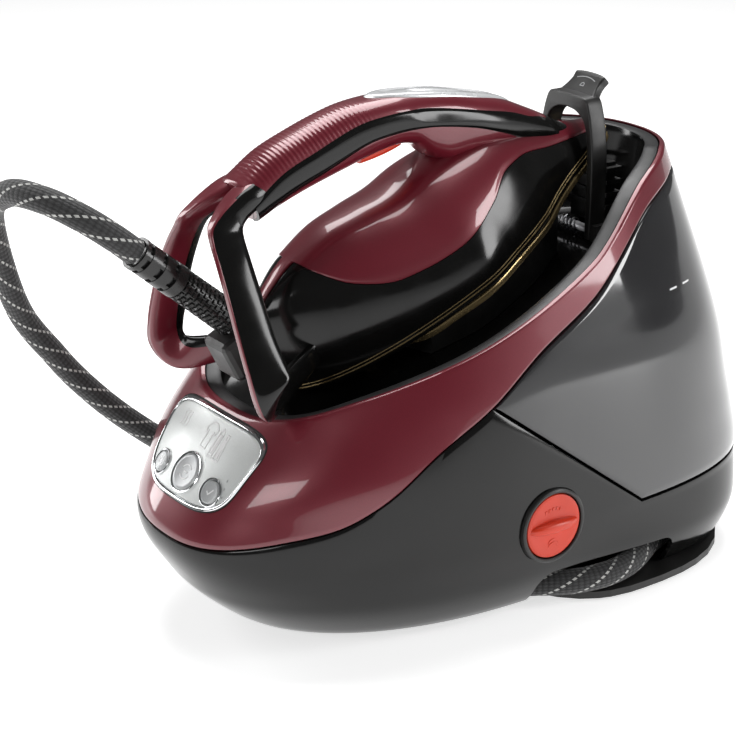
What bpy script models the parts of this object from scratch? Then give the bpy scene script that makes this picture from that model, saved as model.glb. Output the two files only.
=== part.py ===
"""Steam generator iron: a pressure generator with its water tank, and the iron parked on its sloping deck.

Metres, +Z up. The control panel faces -Y and the water tank is at +Y. The origin is under the middle
of the generator, on the surface it stands on.
"""

import math

import bmesh
import bpy
from mathutils import Matrix, Vector

# ---------------------------------------------------------------- driving dimensions
GAP = 0.0003  # clearance between pieces that touch
WALL = 0.0025  # moulded wall
SHELL_WALL = 0.0032  # the same, measured level across the sloping shells
COLUMNS = 44  # facets round the generator's shells

BODY_CENTRE_Y = 0.0085  # the plan's widest point
# Outline of the generator at each height: half width, reach forwards and back, and how square it is
HALF_WIDTH = (
    (0.0, 0.094), (0.015, 0.108), (0.040, 0.121), (0.075, 0.128), (0.105, 0.127), (0.130, 0.125),
    (0.160, 0.121), (0.200, 0.113), (0.250, 0.103), (0.290, 0.094), (0.320, 0.086),
)
FRONT_REACH = (
    (0.0, 0.165), (0.015, 0.188), (0.040, 0.213), (0.075, 0.230), (0.105, 0.216), (0.130, 0.198),
    (0.160, 0.172), (0.200, 0.140), (0.250, 0.105), (0.290, 0.085), (0.320, 0.070),
)
REAR_REACH = (
    (0.0, 0.197), (0.015, 0.205), (0.040, 0.211), (0.075, 0.213), (0.105, 0.207), (0.130, 0.201),
    (0.160, 0.196), (0.200, 0.187), (0.250, 0.172), (0.290, 0.160), (0.320, 0.150),
)
FRONT_POWER = (
    (0.0, 2.2), (0.040, 2.3), (0.075, 2.4), (0.105, 2.6), (0.130, 2.8), (0.160, 2.8), (0.200, 2.6),
)
REAR_FLARE = ((0.0, 0.017), (0.034, 0.013), (0.066, 0.0))  # extra half width at the rear corners of the foot
REAR_POWER = ((0.0, 3.2), (0.150, 3.0), (0.220, 2.6), (0.290, 2.2))

# Heights of the seams along the generator, as Y against Z
RIM_LINE = (
    (-0.1715, 0.1520), (-0.1265, 0.1730), (-0.0365, 0.2020), (0.0435, 0.2360), (0.1035, 0.2770),
    (0.1435, 0.2880),
)
BAND_LINE = (
    (-0.2225, 0.0780), (-0.1835, 0.0910), (-0.1515, 0.1000), (-0.1265, 0.1130), (-0.0885, 0.1400),
    (-0.0485, 0.1620), (-0.0085, 0.1890), (0.0385, 0.2140), (0.1045, 0.2620), (0.1435, 0.2720),
)
SEAM_CORNER_Y = -0.0485  # where the tank, the housing and the burgundy band meet
SEAM_FOOT = (0.0745, 0.070)  # Y and Z of the tank's lower front corner

TRAY_BOTTOM = 0.003
TRAY_TOP = 0.008
SHELF_TOP = SEAM_FOOT[1] - GAP
CHANNEL_TOP = 0.039  # ceiling of the hose channel under the housing
INLET_Z = 0.055
WINDOW_Y = (-0.0040, 0.1115)  # the channel's openings in the sides
WINDOW_TOP = 0.034

DECK_FLOOR = (0.1845, 0.300)  # height over the origin, and slope, of the deck's floor
SOLE_PLANE = (0.21125, 0.5)  # the same for the parked soleplate

PANEL_CENTRE_Z = 0.1245
PANEL_HALF_HEIGHT = 0.0225
PANEL_HALF_WIDTH = 0.048
PANEL_TAPER = 0.006
PANEL_POWER = 4.0
# Each button's X and Z on the panel, and its radius
BUTTONS = {
    "power_button": (-0.030, 0.112, 0.0072),
    "mode_button": (0.0, 0.115, 0.0125),
    "ok_button": (0.030, 0.112, 0.0078),
}

COLLECTOR_Y = -0.0045
COLLECTOR_Z = 0.074
COLLECTOR_RADIUS = 0.0225

LEVER_PIVOT = (0.1115, 0.226)  # Y and Z
LEVER_HALF_GAP = 0.0225
LEVER_WINDOW_Z = 0.309
LEVER_CROWN_Z = 0.319
TAB_FOOT = (0.1120, 0.3120)  # Y and Z of the thumb tab's root
TAB_LEAN = math.radians(45)  # the tab's slope, up and to the rear
TAB_THICKNESS = 0.0055

NOSE = Vector((0.0, 0.1435, 0.283))
SOLE_ANGLE = math.atan(SOLE_PLANE[1])
SOLE_LENGTH = 0.235
SOLE_HALF_WIDTH = 0.058
SKIRT_LENGTH = 0.300
SLEEVE_LENGTH = 0.086
SLEEVE_RADIUS = 0.0102
SLEEVE_GROWTH = 0.0012
SLEEVE_GROOVE = 0.0009
INSERT_S = (0.064, 0.160)  # the silver insert's reach along the handle, from the iron's nose
INSERT_HALF_WIDTH = 0.0115
TRIGGER_S = 0.167  # along the iron from its nose
TRIGGER_PIN = (0.0125, 0.0)  # in the trigger's own frame

# A heel leg's stations: centre, half thickness across X, and half width in Y and Z
LEG_STATIONS = (
    ((0.0112, -0.1704, 0.2788), 0.0098, (-0.0044, 0.0088)),
    ((0.0175, -0.1785, 0.2775), 0.0072, (-0.0090, 0.0080)),
    ((0.0250, -0.1808, 0.2715), 0.0052, (-0.0125, 0.0035)),
    ((0.0440, -0.1808, 0.2454), 0.0045, (-0.0124, 0.0)),
    ((0.0570, -0.1796, 0.2179), 0.0045, (-0.0128, -0.0004)),
    ((0.0636, -0.1780, 0.2000), 0.0045, (-0.0134, -0.0022)),
    ((0.0648, -0.1764, 0.1865), 0.0045, (-0.0122, -0.0075)),
    ((0.0600, -0.1740, 0.1765), 0.0045, (-0.0060, -0.0105)),
    ((0.0530, -0.1685, 0.1735), 0.0044, (-0.0015, -0.0105)),
    ((0.0440, -0.1560, 0.1755), 0.0042, (0.0008, -0.0092)),
    ((0.0360, -0.1420, 0.1790), 0.0040, (0.0015, -0.0084)),
    ((0.0292, -0.1265, 0.1838), 0.0036, (0.0020, -0.0076)),
)

HOSE_RADIUS = 0.0085
HOSE_POINTS = 72
# The steam hose's route, from the iron's sleeve to the generator's outlet
HOSE_ROUTE = (
    (0.0000, -0.2320, 0.2675), (0.0000, -0.2440, 0.2778), (-0.0073, -0.2605, 0.2909),
    (-0.0278, -0.2760, 0.3004), (-0.0617, -0.2834, 0.2976), (-0.1024, -0.2773, 0.2702),
    (-0.1381, -0.2468, 0.1963), (-0.1466, -0.2170, 0.1526), (-0.1487, -0.1968, 0.1271),
    (-0.1491, -0.1718, 0.1006), (-0.1495, -0.1419, 0.0739), (-0.1503, -0.1080, 0.0467),
    (-0.1488, -0.0751, 0.0295), (-0.1457, -0.0428, 0.0269), (-0.1413, -0.0050, 0.0370),
    (-0.1412, 0.0340, 0.0385), (-0.1493, 0.0925, 0.0118), (-0.1669, 0.1263, 0.0087),
    (-0.1993, 0.1481, 0.0087), (-0.2393, 0.1506, 0.0087), (-0.2768, 0.1315, 0.0087),
    (-0.2985, 0.0958, 0.0087), (-0.2987, 0.0472, 0.0087), (-0.2778, 0.0114, 0.0087),
    (-0.2419, -0.0080, 0.0087), (-0.2026, -0.0066, 0.0087), (-0.1650, 0.0154, 0.0100),
    (-0.1400, 0.0415, 0.0152), (-0.1137, 0.0756, 0.0172), (-0.0964, 0.1072, 0.0172),
    (-0.0841, 0.1389, 0.0172), (-0.0574, 0.1715, 0.0172), (-0.0005, 0.1920, 0.0172),
    (0.0574, 0.1713, 0.0172), (0.0843, 0.1387, 0.0172), (0.0966, 0.1095, 0.0172),
    (0.1117, 0.0797, 0.0172), (0.1163, 0.0534, 0.0172), (0.1112, 0.0275, 0.0172),
    (0.0974, 0.0027, 0.0172), (0.0880, -0.0105, 0.0172),
)

# The pump's feed to the boiler, and the steam valve's tube to the hose outlet
FEED_ROUTE = (
    (-0.030, 0.067, 0.0205), (-0.031, 0.050, 0.0215), (-0.044, 0.024, 0.0215), (-0.052, -0.010, 0.0205),
    (-0.050, -0.051, 0.026),
)
STEAM_ROUTE = (
    (0.0440, -0.068, 0.022), (0.055, -0.066, 0.020), (0.062, -0.051, 0.0185), (0.064, -0.026, 0.0172),
)

COLOURS = {
    "burgundy": ((0.140, 0.010, 0.018), 0.22, 0.0),
    "gloss_black": ((0.010, 0.010, 0.010), 0.18, 0.0),
    "satin_black": ((0.022, 0.022, 0.022), 0.42, 0.0),
    "rubber_black": ((0.018, 0.018, 0.018), 0.75, 0.0),
    "smoked_tank": ((0.045, 0.045, 0.047), 0.12, 0.0),
    "panel_silver": ((0.62, 0.64, 0.64), 0.34, 0.35),
    "chrome": ((0.80, 0.80, 0.80), 0.08, 1.0),
    "button_grey": ((0.50, 0.50, 0.50), 0.35, 0.2),
    "orange_red": ((0.62, 0.055, 0.015), 0.35, 0.0),
    "gold_ceramic": ((0.42, 0.33, 0.17), 0.25, 0.8),
    "aluminium": ((0.60, 0.60, 0.62), 0.40, 1.0),
    "steel": ((0.55, 0.55, 0.56), 0.30, 1.0),
    "brass": ((0.60, 0.42, 0.16), 0.30, 1.0),
    "board_green": ((0.02, 0.16, 0.06), 0.60, 0.0),
    "silicone_grey": ((0.20, 0.20, 0.21), 0.80, 0.0),
    "hose_fabric": ((0.035, 0.035, 0.035), 0.90, 0.0),
}

for old in list(bpy.data.objects):
    bpy.data.objects.remove(old, do_unlink=True)

parts = bpy.data.collections.new("steam_generator_iron")
cutters = bpy.data.collections.new("cutters")
bpy.context.scene.collection.children.link(parts)
bpy.context.scene.collection.children.link(cutters)
cutters.hide_render = True


# ---------------------------------------------------------------- helpers
def smooth(knots):
    """A monotone cubic curve through (x, y) knots, held level beyond its ends."""
    xs = [k[0] for k in knots]
    ys = [k[1] for k in knots]
    rises = [(ys[i + 1] - ys[i]) / (xs[i + 1] - xs[i]) for i in range(len(xs) - 1)]
    slopes = [rises[0]]
    for before, after in zip(rises, rises[1:]):
        slopes.append(0.0 if before * after <= 0 else 2 * before * after / (before + after))
    slopes.append(rises[-1])

    def value(x):
        if x <= xs[0]:
            return ys[0]
        if x >= xs[-1]:
            return ys[-1]
        i = next(n for n in range(len(xs) - 1) if x <= xs[n + 1])
        width = xs[i + 1] - xs[i]
        t = (x - xs[i]) / width
        return (
            (1 + 2 * t) * (1 - t) ** 2 * ys[i]
            + t * (1 - t) ** 2 * width * slopes[i]
            + t * t * (3 - 2 * t) * ys[i + 1]
            + t * t * (t - 1) * width * slopes[i + 1]
        )

    return value


half_width = smooth(HALF_WIDTH)
front_reach = smooth(FRONT_REACH)
rear_reach = smooth(REAR_REACH)
front_power = smooth(FRONT_POWER)
rear_power = smooth(REAR_POWER)
rear_flare = smooth(REAR_FLARE)
rim_line = smooth(RIM_LINE)
band_line = smooth(BAND_LINE)


def housing_line(y):
    """Top of the lower housing: the band's seam in front, then down the tank's slanted edge."""
    if y <= SEAM_CORNER_Y:
        return band_line(y)
    share = min(1.0, (y - SEAM_CORNER_Y) / (SEAM_FOOT[0] - SEAM_CORNER_Y))
    return band_line(SEAM_CORNER_Y) + share * (SEAM_FOOT[1] - band_line(SEAM_CORNER_Y))


def deck_floor(y):
    return DECK_FLOOR[0] + DECK_FLOOR[1] * y


def sole_height(y):
    return SOLE_PLANE[0] + SOLE_PLANE[1] * y


def oval(angle, half, front, back, front_n, back_n, centre_y=BODY_CENTRE_Y):
    """A point of a rounded-square oval whose front and back halves differ."""
    c = math.cos(angle)
    s = math.sin(angle)
    reach = back if s > 0 else front
    power = back_n if s > 0 else front_n
    k = (abs(c) ** power + abs(s) ** power) ** (-1 / power)
    return half * k * c, centre_y + reach * k * s


def body_point(angle, z, inset=0.0):
    """A point of the generator's outer surface. Angle 0 is +X and a quarter turn is the rear."""
    half = half_width(z)
    if math.sin(angle) > 0:
        half += rear_flare(z) * math.sin(2 * angle) ** 2
    front = front_reach(z) - inset
    back = rear_reach(z) - inset
    x, y = oval(angle, half - inset, front, back, front_power(z), rear_power(z))
    return Vector((x, y, z))


def front_point(x, z, inset=0.0):
    """The point of the generator's front surface at that X and Z."""
    power = front_power(z)
    share = 1 - (abs(x) / (half_width(z) - inset)) ** power
    return Vector((x, BODY_CENTRE_Y - (front_reach(z) - inset) * share ** (1 / power), z))


def seam_height(angle, line):
    """Height at which the body's surface, at that angle, crosses a seam line of Y against Z."""
    low, high = 0.0, 0.32
    for _ in range(30):
        z = (low + high) / 2
        if z < line(body_point(angle, z).y):
            low = z
        else:
            high = z
    return z


def angle_at(y, z):
    """The angle, on the +X side, at which the body's surface at height z reaches y."""
    low, high = -math.pi / 2, math.pi / 2
    for _ in range(30):
        angle = (low + high) / 2
        if body_point(angle, z).y < y:
            low = angle
        else:
            high = angle
    return angle


def shell_angles():
    """Angles round the body, with a column on each seam corner."""
    step = 2 * math.pi / COLUMNS
    angles = [i * step - math.pi / 2 for i in range(COLUMNS)]
    for corner in (angle_at(SEAM_CORNER_Y, band_line(SEAM_CORNER_Y)), angle_at(*SEAM_FOOT)):
        for target in (corner, math.pi - corner):
            nearest = min(range(COLUMNS), key=lambda i: abs(angles[i] - target))
            angles[nearest] = target
    return angles


ANGLES = shell_angles()


def material(name):
    found = bpy.data.materials.get(name)
    if found:
        return found
    colour, roughness, metallic = COLOURS[name]
    made = bpy.data.materials.new(name)
    made.use_nodes = True
    shader = made.node_tree.nodes["Principled BSDF"]
    shader.inputs["Base Color"].default_value = (*colour, 1.0)
    shader.inputs["Roughness"].default_value = roughness
    shader.inputs["Metallic"].default_value = metallic
    made.diffuse_color = (*colour, 1.0)
    return made


def add(name, mesh, finish, parent=None, matrix=None):
    """A named part from a mesh, in the parts' collection."""
    made = bpy.data.objects.new(name, mesh)
    parts.objects.link(made)
    mesh.materials.clear()
    mesh.materials.append(material(finish))
    made.parent = parent
    if matrix is not None:
        made.matrix_basis = matrix
    return made


def as_cutter(made):
    """Moves an object from the parts to the cutters."""
    parts.objects.unlink(made)
    cutters.objects.link(made)
    made.hide_render = True
    made.display_type = "WIRE"
    return made


def mesh_from(bm, name):
    mesh = bpy.data.meshes.new(name)
    bm.to_mesh(mesh)
    bm.free()
    return mesh


def closed_mesh(bm, name):
    """Merges what coincides and turns every face outwards."""
    bmesh.ops.remove_doubles(bm, verts=bm.verts, dist=1e-6)
    bmesh.ops.recalc_face_normals(bm, faces=bm.faces)
    return mesh_from(bm, name)


def modifier_cut(target, cutter, operation="DIFFERENCE"):
    cut = target.modifiers.new(operation.lower(), "BOOLEAN")
    cut.operation = operation
    cut.solver = "EXACT"
    cut.object = cutter
    return target


def ring_rows(bm, rows):
    """Bridges closed rows of points and returns their vertices."""
    loops = [[bm.verts.new(p) for p in row] for row in rows]
    for lower, upper in zip(loops, loops[1:]):
        for i in range(len(lower)):
            j = (i + 1) % len(lower)
            bm.faces.new((lower[i], lower[j], upper[j], upper[i]))
    return loops


def skin(name, rows, finish, thickness=WALL, centre=None):
    """A shell: an open surface of closed rows, thickened inwards. A centre closes its last row."""
    bm = bmesh.new()
    loops = ring_rows(bm, rows)
    if centre is not None:
        middle = bm.verts.new(centre)
        last = loops[-1]
        for i in range(len(last)):
            bm.faces.new((last[i], last[(i + 1) % len(last)], middle))
    made = add(name, mesh_from(bm, name), finish)
    solid = made.modifiers.new("wall", "SOLIDIFY")
    solid.thickness = thickness
    solid.offset = -1.0
    return made


def loft(name, rows, finish, parent=None):
    """A closed solid through closed sections, capped at both ends."""
    bm = bmesh.new()
    loops = ring_rows(bm, rows)
    bm.faces.new(loops[0])
    bm.faces.new(loops[-1])
    return add(name, closed_mesh(bm, name), finish, parent)


def walled(name, outer, inner, finish, parent=None, roofed=False):
    """A shell between outer and inner rows. With roofed, each last row is a crest whose halves meet."""
    bm = bmesh.new()
    outside = ring_rows(bm, outer)
    inside = ring_rows(bm, inner)
    ends = [(outside[0], inside[0])]
    if not roofed:
        ends.append((outside[-1], inside[-1]))
    for a, b in ends:
        for i in range(len(a)):
            j = (i + 1) % len(a)
            bm.faces.new((a[i], a[j], b[j], b[i]))
    return add(name, closed_mesh(bm, name), finish, parent)


def plate(name, outlines, thickness, finish, matrix, parent=None):
    """A flat piece: a filled 2D curve, extruded by half its thickness each way, made a mesh."""
    curve = bpy.data.curves.new(name, "CURVE")
    curve.dimensions = "2D"
    curve.fill_mode = "BOTH"
    curve.extrude = thickness / 2
    for outline in outlines:
        spline = curve.splines.new("POLY")
        spline.points.add(len(outline) - 1)
        for point, (x, y) in zip(spline.points, outline):
            point.co = (x, y, 0.0, 1.0)
        spline.use_cyclic_u = True
    return meshed(name, curve, finish, matrix, parent)


def tube(name, points, radius, finish, resolution=2, parent=None, matrix=None):
    """A round tube along points."""
    curve = bpy.data.curves.new(name, "CURVE")
    curve.dimensions = "3D"
    curve.bevel_depth = radius
    curve.bevel_resolution = resolution
    curve.use_fill_caps = True
    spline = curve.splines.new("POLY")
    spline.points.add(len(points) - 1)
    for point, co in zip(spline.points, points):
        point.co = (*co, 1.0)
    curve.materials.append(material(finish))
    made = bpy.data.objects.new(name, curve)
    parts.objects.link(made)
    made.parent = parent
    if matrix is not None:
        made.matrix_basis = matrix
    return made


def meshed(name, curve, finish, matrix=None, parent=None):
    """A curve's shape as a mesh part with welded caps."""
    temporary = bpy.data.objects.new(name + "_curve", curve)
    parts.objects.link(temporary)
    graph = bpy.context.evaluated_depsgraph_get()
    mesh = bpy.data.meshes.new_from_object(temporary.evaluated_get(graph))
    bpy.data.objects.remove(temporary, do_unlink=True)
    bm = bmesh.new()
    bm.from_mesh(mesh)
    bmesh.ops.remove_doubles(bm, verts=bm.verts, dist=1e-6)
    bmesh.ops.recalc_face_normals(bm, faces=bm.faces)
    bm.to_mesh(mesh)
    bm.free()
    return add(name, mesh, finish, parent, matrix)


def box(name, size, place, finish, bevel=0.0, turn=None, parent=None):
    bm = bmesh.new()
    bmesh.ops.create_cube(bm, size=1.0, matrix=Matrix.Diagonal((*size, 1.0)))
    matrix = Matrix.Translation(place) @ (turn.to_4x4() if turn else Matrix.Identity(4))
    made = add(name, mesh_from(bm, name), finish, parent, matrix)
    if bevel:
        round_edges(made, bevel)
    return made


def round_edges(made, width, segments=2):
    bevel = made.modifiers.new("rounded", "BEVEL")
    bevel.width = width
    bevel.segments = segments
    bevel.limit_method = "ANGLE"
    return made


def along(direction):
    """The rotation that takes +Z to a direction."""
    return Vector((0, 0, 1)).rotation_difference(Vector(direction)).to_matrix()


def turned(name, profile, place, direction, finish, steps=24, parent=None):
    """A turned piece: a closed profile of (radius, height), run down its outer side, swept round its axis."""
    bm = bmesh.new()
    points = [bm.verts.new((r, 0.0, z)) for r, z in profile]
    for a, b in zip(points, points[1:] + points[:1]):
        if a.co.x > 0 or b.co.x > 0:
            bm.edges.new((a, b))
    matrix = Matrix.Translation(place) @ along(direction).to_4x4()
    made = add(name, mesh_from(bm, name), finish, parent, matrix)
    screw = made.modifiers.new("turn", "SCREW")
    screw.steps = steps
    screw.render_steps = steps
    screw.use_merge_vertices = True
    screw.merge_threshold = 0.00001
    return made


def rod(name, radius, length, place, direction, finish, steps=20, parent=None):
    """A round bar that starts at a place and runs along a direction."""
    profile = ((0.0, length), (radius, length), (radius, 0.0), (0.0, 0.0))
    return turned(name, profile, place, direction, finish, steps, parent)


def spline_points(route, count):
    """Points read evenly from a smooth curve through the route's own points."""
    ends = [2 * Vector(route[0]) - Vector(route[1]), 2 * Vector(route[-1]) - Vector(route[-2])]
    knots = [ends[0], *map(Vector, route), ends[1]]
    dense = []
    pieces = 24
    for a, b, c, d in zip(knots, knots[1:], knots[2:], knots[3:]):
        for n in range(pieces):
            t = n / pieces
            square = (2 * a - 5 * b + 4 * c - d) * t**2
            cube = (3 * b - a - 3 * c + d) * t**3
            dense.append(0.5 * (2 * b + (c - a) * t + square + cube))
    dense.append(knots[-2])
    reach = [0.0]
    for a, b in zip(dense, dense[1:]):
        reach.append(reach[-1] + (b - a).length)
    found = []
    i = 0
    for n in range(count):
        target = reach[-1] * n / (count - 1)
        while i < len(dense) - 2 and reach[i + 1] < target:
            i += 1
        share = (target - reach[i]) / (reach[i + 1] - reach[i])
        found.append(dense[i].lerp(dense[i + 1], min(1.0, share)))
    return found


# ---------------------------------------------------------------- generator: base and housing
def make_base():
    """The tray that the generator stands on, its rubber feet, and the chassis with the hose channel."""
    footprint = [oval(a, 0.090, 0.162, 0.193, 2.2, 3.2) for a in ANGLES]
    skirt_outline = [oval(a, 0.126, 0.080, 0.125, 2.6, 2.6, 0.0805) for a in ANGLES]
    middle = Matrix.Translation((0, 0, (TRAY_BOTTOM + TRAY_TOP) / 2))
    tray = plate("base_tray", [footprint], TRAY_TOP - TRAY_BOTTOM, "satin_black", middle)
    wide = plate("tray_wide", [skirt_outline], TRAY_TOP - TRAY_BOTTOM, "satin_black", middle)
    modifier_cut(tray, as_cutter(wide), "UNION")
    for side, x in (("left", -1), ("right", 1)):
        for end, (half, y) in {"front": (0.045, -0.106), "rear": (0.085, 0.150)}.items():
            profile = ((0.0, TRAY_BOTTOM - GAP), (0.009, TRAY_BOTTOM - GAP), (0.010, 0.0), (0.0, 0.0))
            turned(f"foot_{end}_{side}", profile, (x * half, y, 0), (0, 0, 1), "rubber_black", 16)
    wall = [oval(a, 0.076, 0.128, 0.160, 2.2, 2.4) for a in ANGLES]
    core = [[(x, y, z) for x, y in wall] for z in (TRAY_TOP + GAP, CHANNEL_TOP)]
    flange = [body_point(a, CHANNEL_TOP, SHELL_WALL + 0.0022) for a in ANGLES]
    skin("inner_chassis", [*core, flange], "satin_black", 0.002)


def shell_between(name, low_of, high_of, shares, finish):
    """A closed band of the generator's wall between two heights given at each angle."""
    outer = []
    inner = []
    for share in shares:
        heights = [low_of(a) + share * (high_of(a) - low_of(a)) for a in ANGLES]
        outer.append([body_point(a, z) for a, z in zip(ANGLES, heights)])
        inner.append([body_point(a, z, SHELL_WALL) for a, z in zip(ANGLES, heights)])
    return walled(name, outer, inner, finish)


def make_housing():
    """The glossy black lower housing, with the channel's openings, and the tank's shelf."""
    housing = shell_between(
        "lower_housing", lambda a: TRAY_TOP + GAP, lambda a: seam_height(a, housing_line) - GAP,
        (0.0, 0.12, 0.32, 0.65, 1.0), "gloss_black",
    )
    length = WINDOW_Y[1] - WINDOW_Y[0]
    centre_y = sum(WINDOW_Y) / 2
    openings = box("channel_openings", (0.4, length, 2 * WINDOW_TOP), (0, centre_y, 0), "gloss_black", 0.012)
    modifier_cut(housing, as_cutter(openings))
    bore_start = (0.09, COLLECTOR_Y, COLLECTOR_Z)
    bore = rod("collector_bore", COLLECTOR_RADIUS + 0.0035, 0.06, bore_start, (1, 0, 0), "gloss_black", 28)
    modifier_cut(housing, as_cutter(bore))

    outline = [body_point(a, SHELF_TOP, SHELL_WALL + 0.0012) for a in ANGLES]
    front = SEAM_FOOT[0] - 0.012
    shelf_outline = [(p.x, p.y) for p in outline if p.y > front]
    middle = Matrix.Translation((0, 0, SHELF_TOP - 0.0015 - GAP))
    plate("tank_shelf", [shelf_outline], 0.003, "satin_black", middle)


def make_front_shell():
    """The burgundy shell that sweeps up from the front to the rear rim, open for the control panel."""
    shell = shell_between(
        "front_shell", lambda a: seam_height(a, band_line) + GAP, lambda a: seam_height(a, rim_line),
        (0.0, 0.33, 0.67, 1.0), "burgundy",
    )
    modifier_cut(shell, as_cutter(panel_solid("panel_opening", 0.0036, -0.004, 0.012, "burgundy")))


def panel_outline(grow, share=1.0, steps=36):
    """Points round the shield-shaped panel on the front surface, as X and Z."""
    found = []
    for i in range(steps):
        angle = 2 * math.pi * i / steps
        c = math.cos(angle)
        s = math.sin(angle)
        k = share * (abs(c) ** PANEL_POWER + abs(s) ** PANEL_POWER) ** (-1 / PANEL_POWER)
        x = k * c * (PANEL_HALF_WIDTH + PANEL_TAPER * k * s + grow)
        found.append((x, PANEL_CENTRE_Z + k * s * (PANEL_HALF_HEIGHT + grow)))
    return found


def panel_solid(name, grow, out, into, finish):
    """The panel's outline as a solid slab that follows the front surface, from out to into below it."""
    bm = bmesh.new()
    faces_rows = []
    for depth in (out, into):
        rings = [[front_point(x, z, depth) for x, z in panel_outline(grow, share)] for share in (1.0, 0.5)]
        faces_rows.append((rings, front_point(0, PANEL_CENTRE_Z, depth)))
    outer, inner = faces_rows
    rows = [outer[0][1], outer[0][0], inner[0][0], inner[0][1]]
    loops = ring_rows(bm, rows)
    for loop, middle in ((loops[0], outer[1]), (loops[-1], inner[1])):
        point = bm.verts.new(middle)
        for i in range(len(loop)):
            bm.faces.new((loop[i], loop[(i + 1) % len(loop)], point))
    return add(name, closed_mesh(bm, name), finish)


def surface_normal(x, z):
    """Outward normal of the front surface."""
    step = 0.001
    across = front_point(x + step, z) - front_point(x - step, z)
    up = front_point(x, z + step) - front_point(x, z - step)
    return across.cross(up).normalized()


def make_panel():
    """The silver control panel, its bright bezel, three sprung buttons and the board behind them."""
    panel = panel_solid("control_panel", 0.0, -0.0004, 0.0018, "panel_silver")
    bezel = panel_solid("panel_bezel", 0.0032, -0.0014, 0.0022, "chrome")
    modifier_cut(bezel, as_cutter(panel_solid("bezel_opening", GAP, -0.006, 0.008, "chrome")))
    normals = {}
    for name, (x, z, radius) in BUTTONS.items():
        seat = front_point(x, z)
        normal = surface_normal(x, z)
        normals[name] = normal
        hole = rod(name + "_hole", radius + 0.0004, 0.02, seat - normal * 0.01, normal, "button_grey", 24)
        modifier_cut(panel, as_cutter(hole))
        crown = 0.0016
        profile = (
            (0.0, crown), (radius * 0.8, crown), (radius, crown - 0.0009), (radius, -0.0040), (0.0, -0.0040),
        )
        turned(name, profile, seat, normal, "button_grey", 24)
    board_normal = surface_normal(0, PANEL_CENTRE_Z)
    board_place = front_point(0, PANEL_CENTRE_Z) - board_normal * 0.020
    box("control_board", (0.072, 0.034, 0.0016), board_place, "board_green", 0.0, along(board_normal))


def make_deck():
    """The glossy deck that the iron parks on: a rim band, a basin, the rest under the sole and its pads."""
    rows = []
    insets = ((SHELL_WALL + 2 * GAP, -0.0006), (0.0130, -0.0003), (0.0150, -0.004))
    rims = [seam_height(a, rim_line) for a in ANGLES]
    for inset, drop in insets:
        rows.append([body_point(a, z, inset) + Vector((0, 0, drop)) for a, z in zip(ANGLES, rims)])
    edge = [body_point(a, z, 0.026) for a, z in zip(ANGLES, rims)]
    centre = Vector((0, 0.014, 0))
    for share in (1.0, 0.55, 0.25):
        flat = [centre + share * (Vector((p.x, p.y, 0)) - centre) for p in edge]
        rows.append([Vector((p.x, p.y, deck_floor(p.y))) for p in flat])
    middle = Vector((centre.x, centre.y, deck_floor(centre.y)))
    skin("deck", rows, "gloss_black", WALL, middle)

    def rest_point(angle, inset, z_of, lift):
        s = 0.1325 + math.cos(angle) * (0.0775 - inset)
        half = (sole_half(s) - 0.012 - inset) * math.sin(angle) / max(0.35, abs(math.sin(angle)))
        y = NOSE.y - s * math.cos(SOLE_ANGLE)
        return Vector((half, y, z_of(y) + lift))

    steps = [2 * math.pi * i / 32 for i in range(32)]
    pad = 0.003
    outer = []
    inner = []
    for z_of, lift in ((deck_floor, GAP * 2), (sole_height, -pad - 0.0012)):
        outer.append([rest_point(a, 0.0, z_of, lift) for a in steps])
        inner.append([rest_point(a, 0.003, z_of, lift) for a in steps])
    walled("iron_rest", outer, inner, "satin_black")
    tilt = Matrix.Rotation(SOLE_ANGLE, 3, "X")
    for name, s, x in (("front", 0.0565, 0.0), ("left", 0.150, -0.0425), ("right", 0.150, 0.0425)):
        y = NOSE.y - s * math.cos(SOLE_ANGLE)
        size = (0.007, 0.050, pad) if x else (0.018, 0.006, pad)
        place = (x, y, sole_height(y) - 0.0006 - pad / 2)
        box(f"rest_pad_{name}", size, place, "silicone_grey", 0.0, tilt)


def sole_half(s):
    """Half width of the sole at a distance from its tip."""
    share = min(1.0, max(0.0, s / SOLE_LENGTH))
    return SOLE_HALF_WIDTH * 2 * math.sqrt(share * (1 - share)) * sole_shape(share)


sole_shape = smooth(
    ((0.0, 0.30), (0.077, 0.357), (0.209, 0.446), (0.294, 0.549), (0.404, 0.738), (0.54, 0.882),
     (0.689, 1.08), (0.813, 1.216), (1.0, 1.9))
)


def make_catch():
    """The ribbed catch behind the lock lever, standing on the rear of the deck."""
    y = 0.1315
    foot = deck_floor(y + 0.005) + 2 * GAP
    top = 0.270
    post = box("lever_catch", (0.034, 0.010, top - foot), (0, y, (foot + top) / 2), "satin_black")
    ribs = 4
    for i in range(ribs):
        height = foot + (top - foot) * (0.35 + 0.6 * i / (ribs - 1))
        rib = box(f"catch_rib_{i}", (0.043, 0.013, 0.003), (0, y, height - 0.002), "satin_black")
        modifier_cut(post, as_cutter(rib), "UNION")


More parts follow.
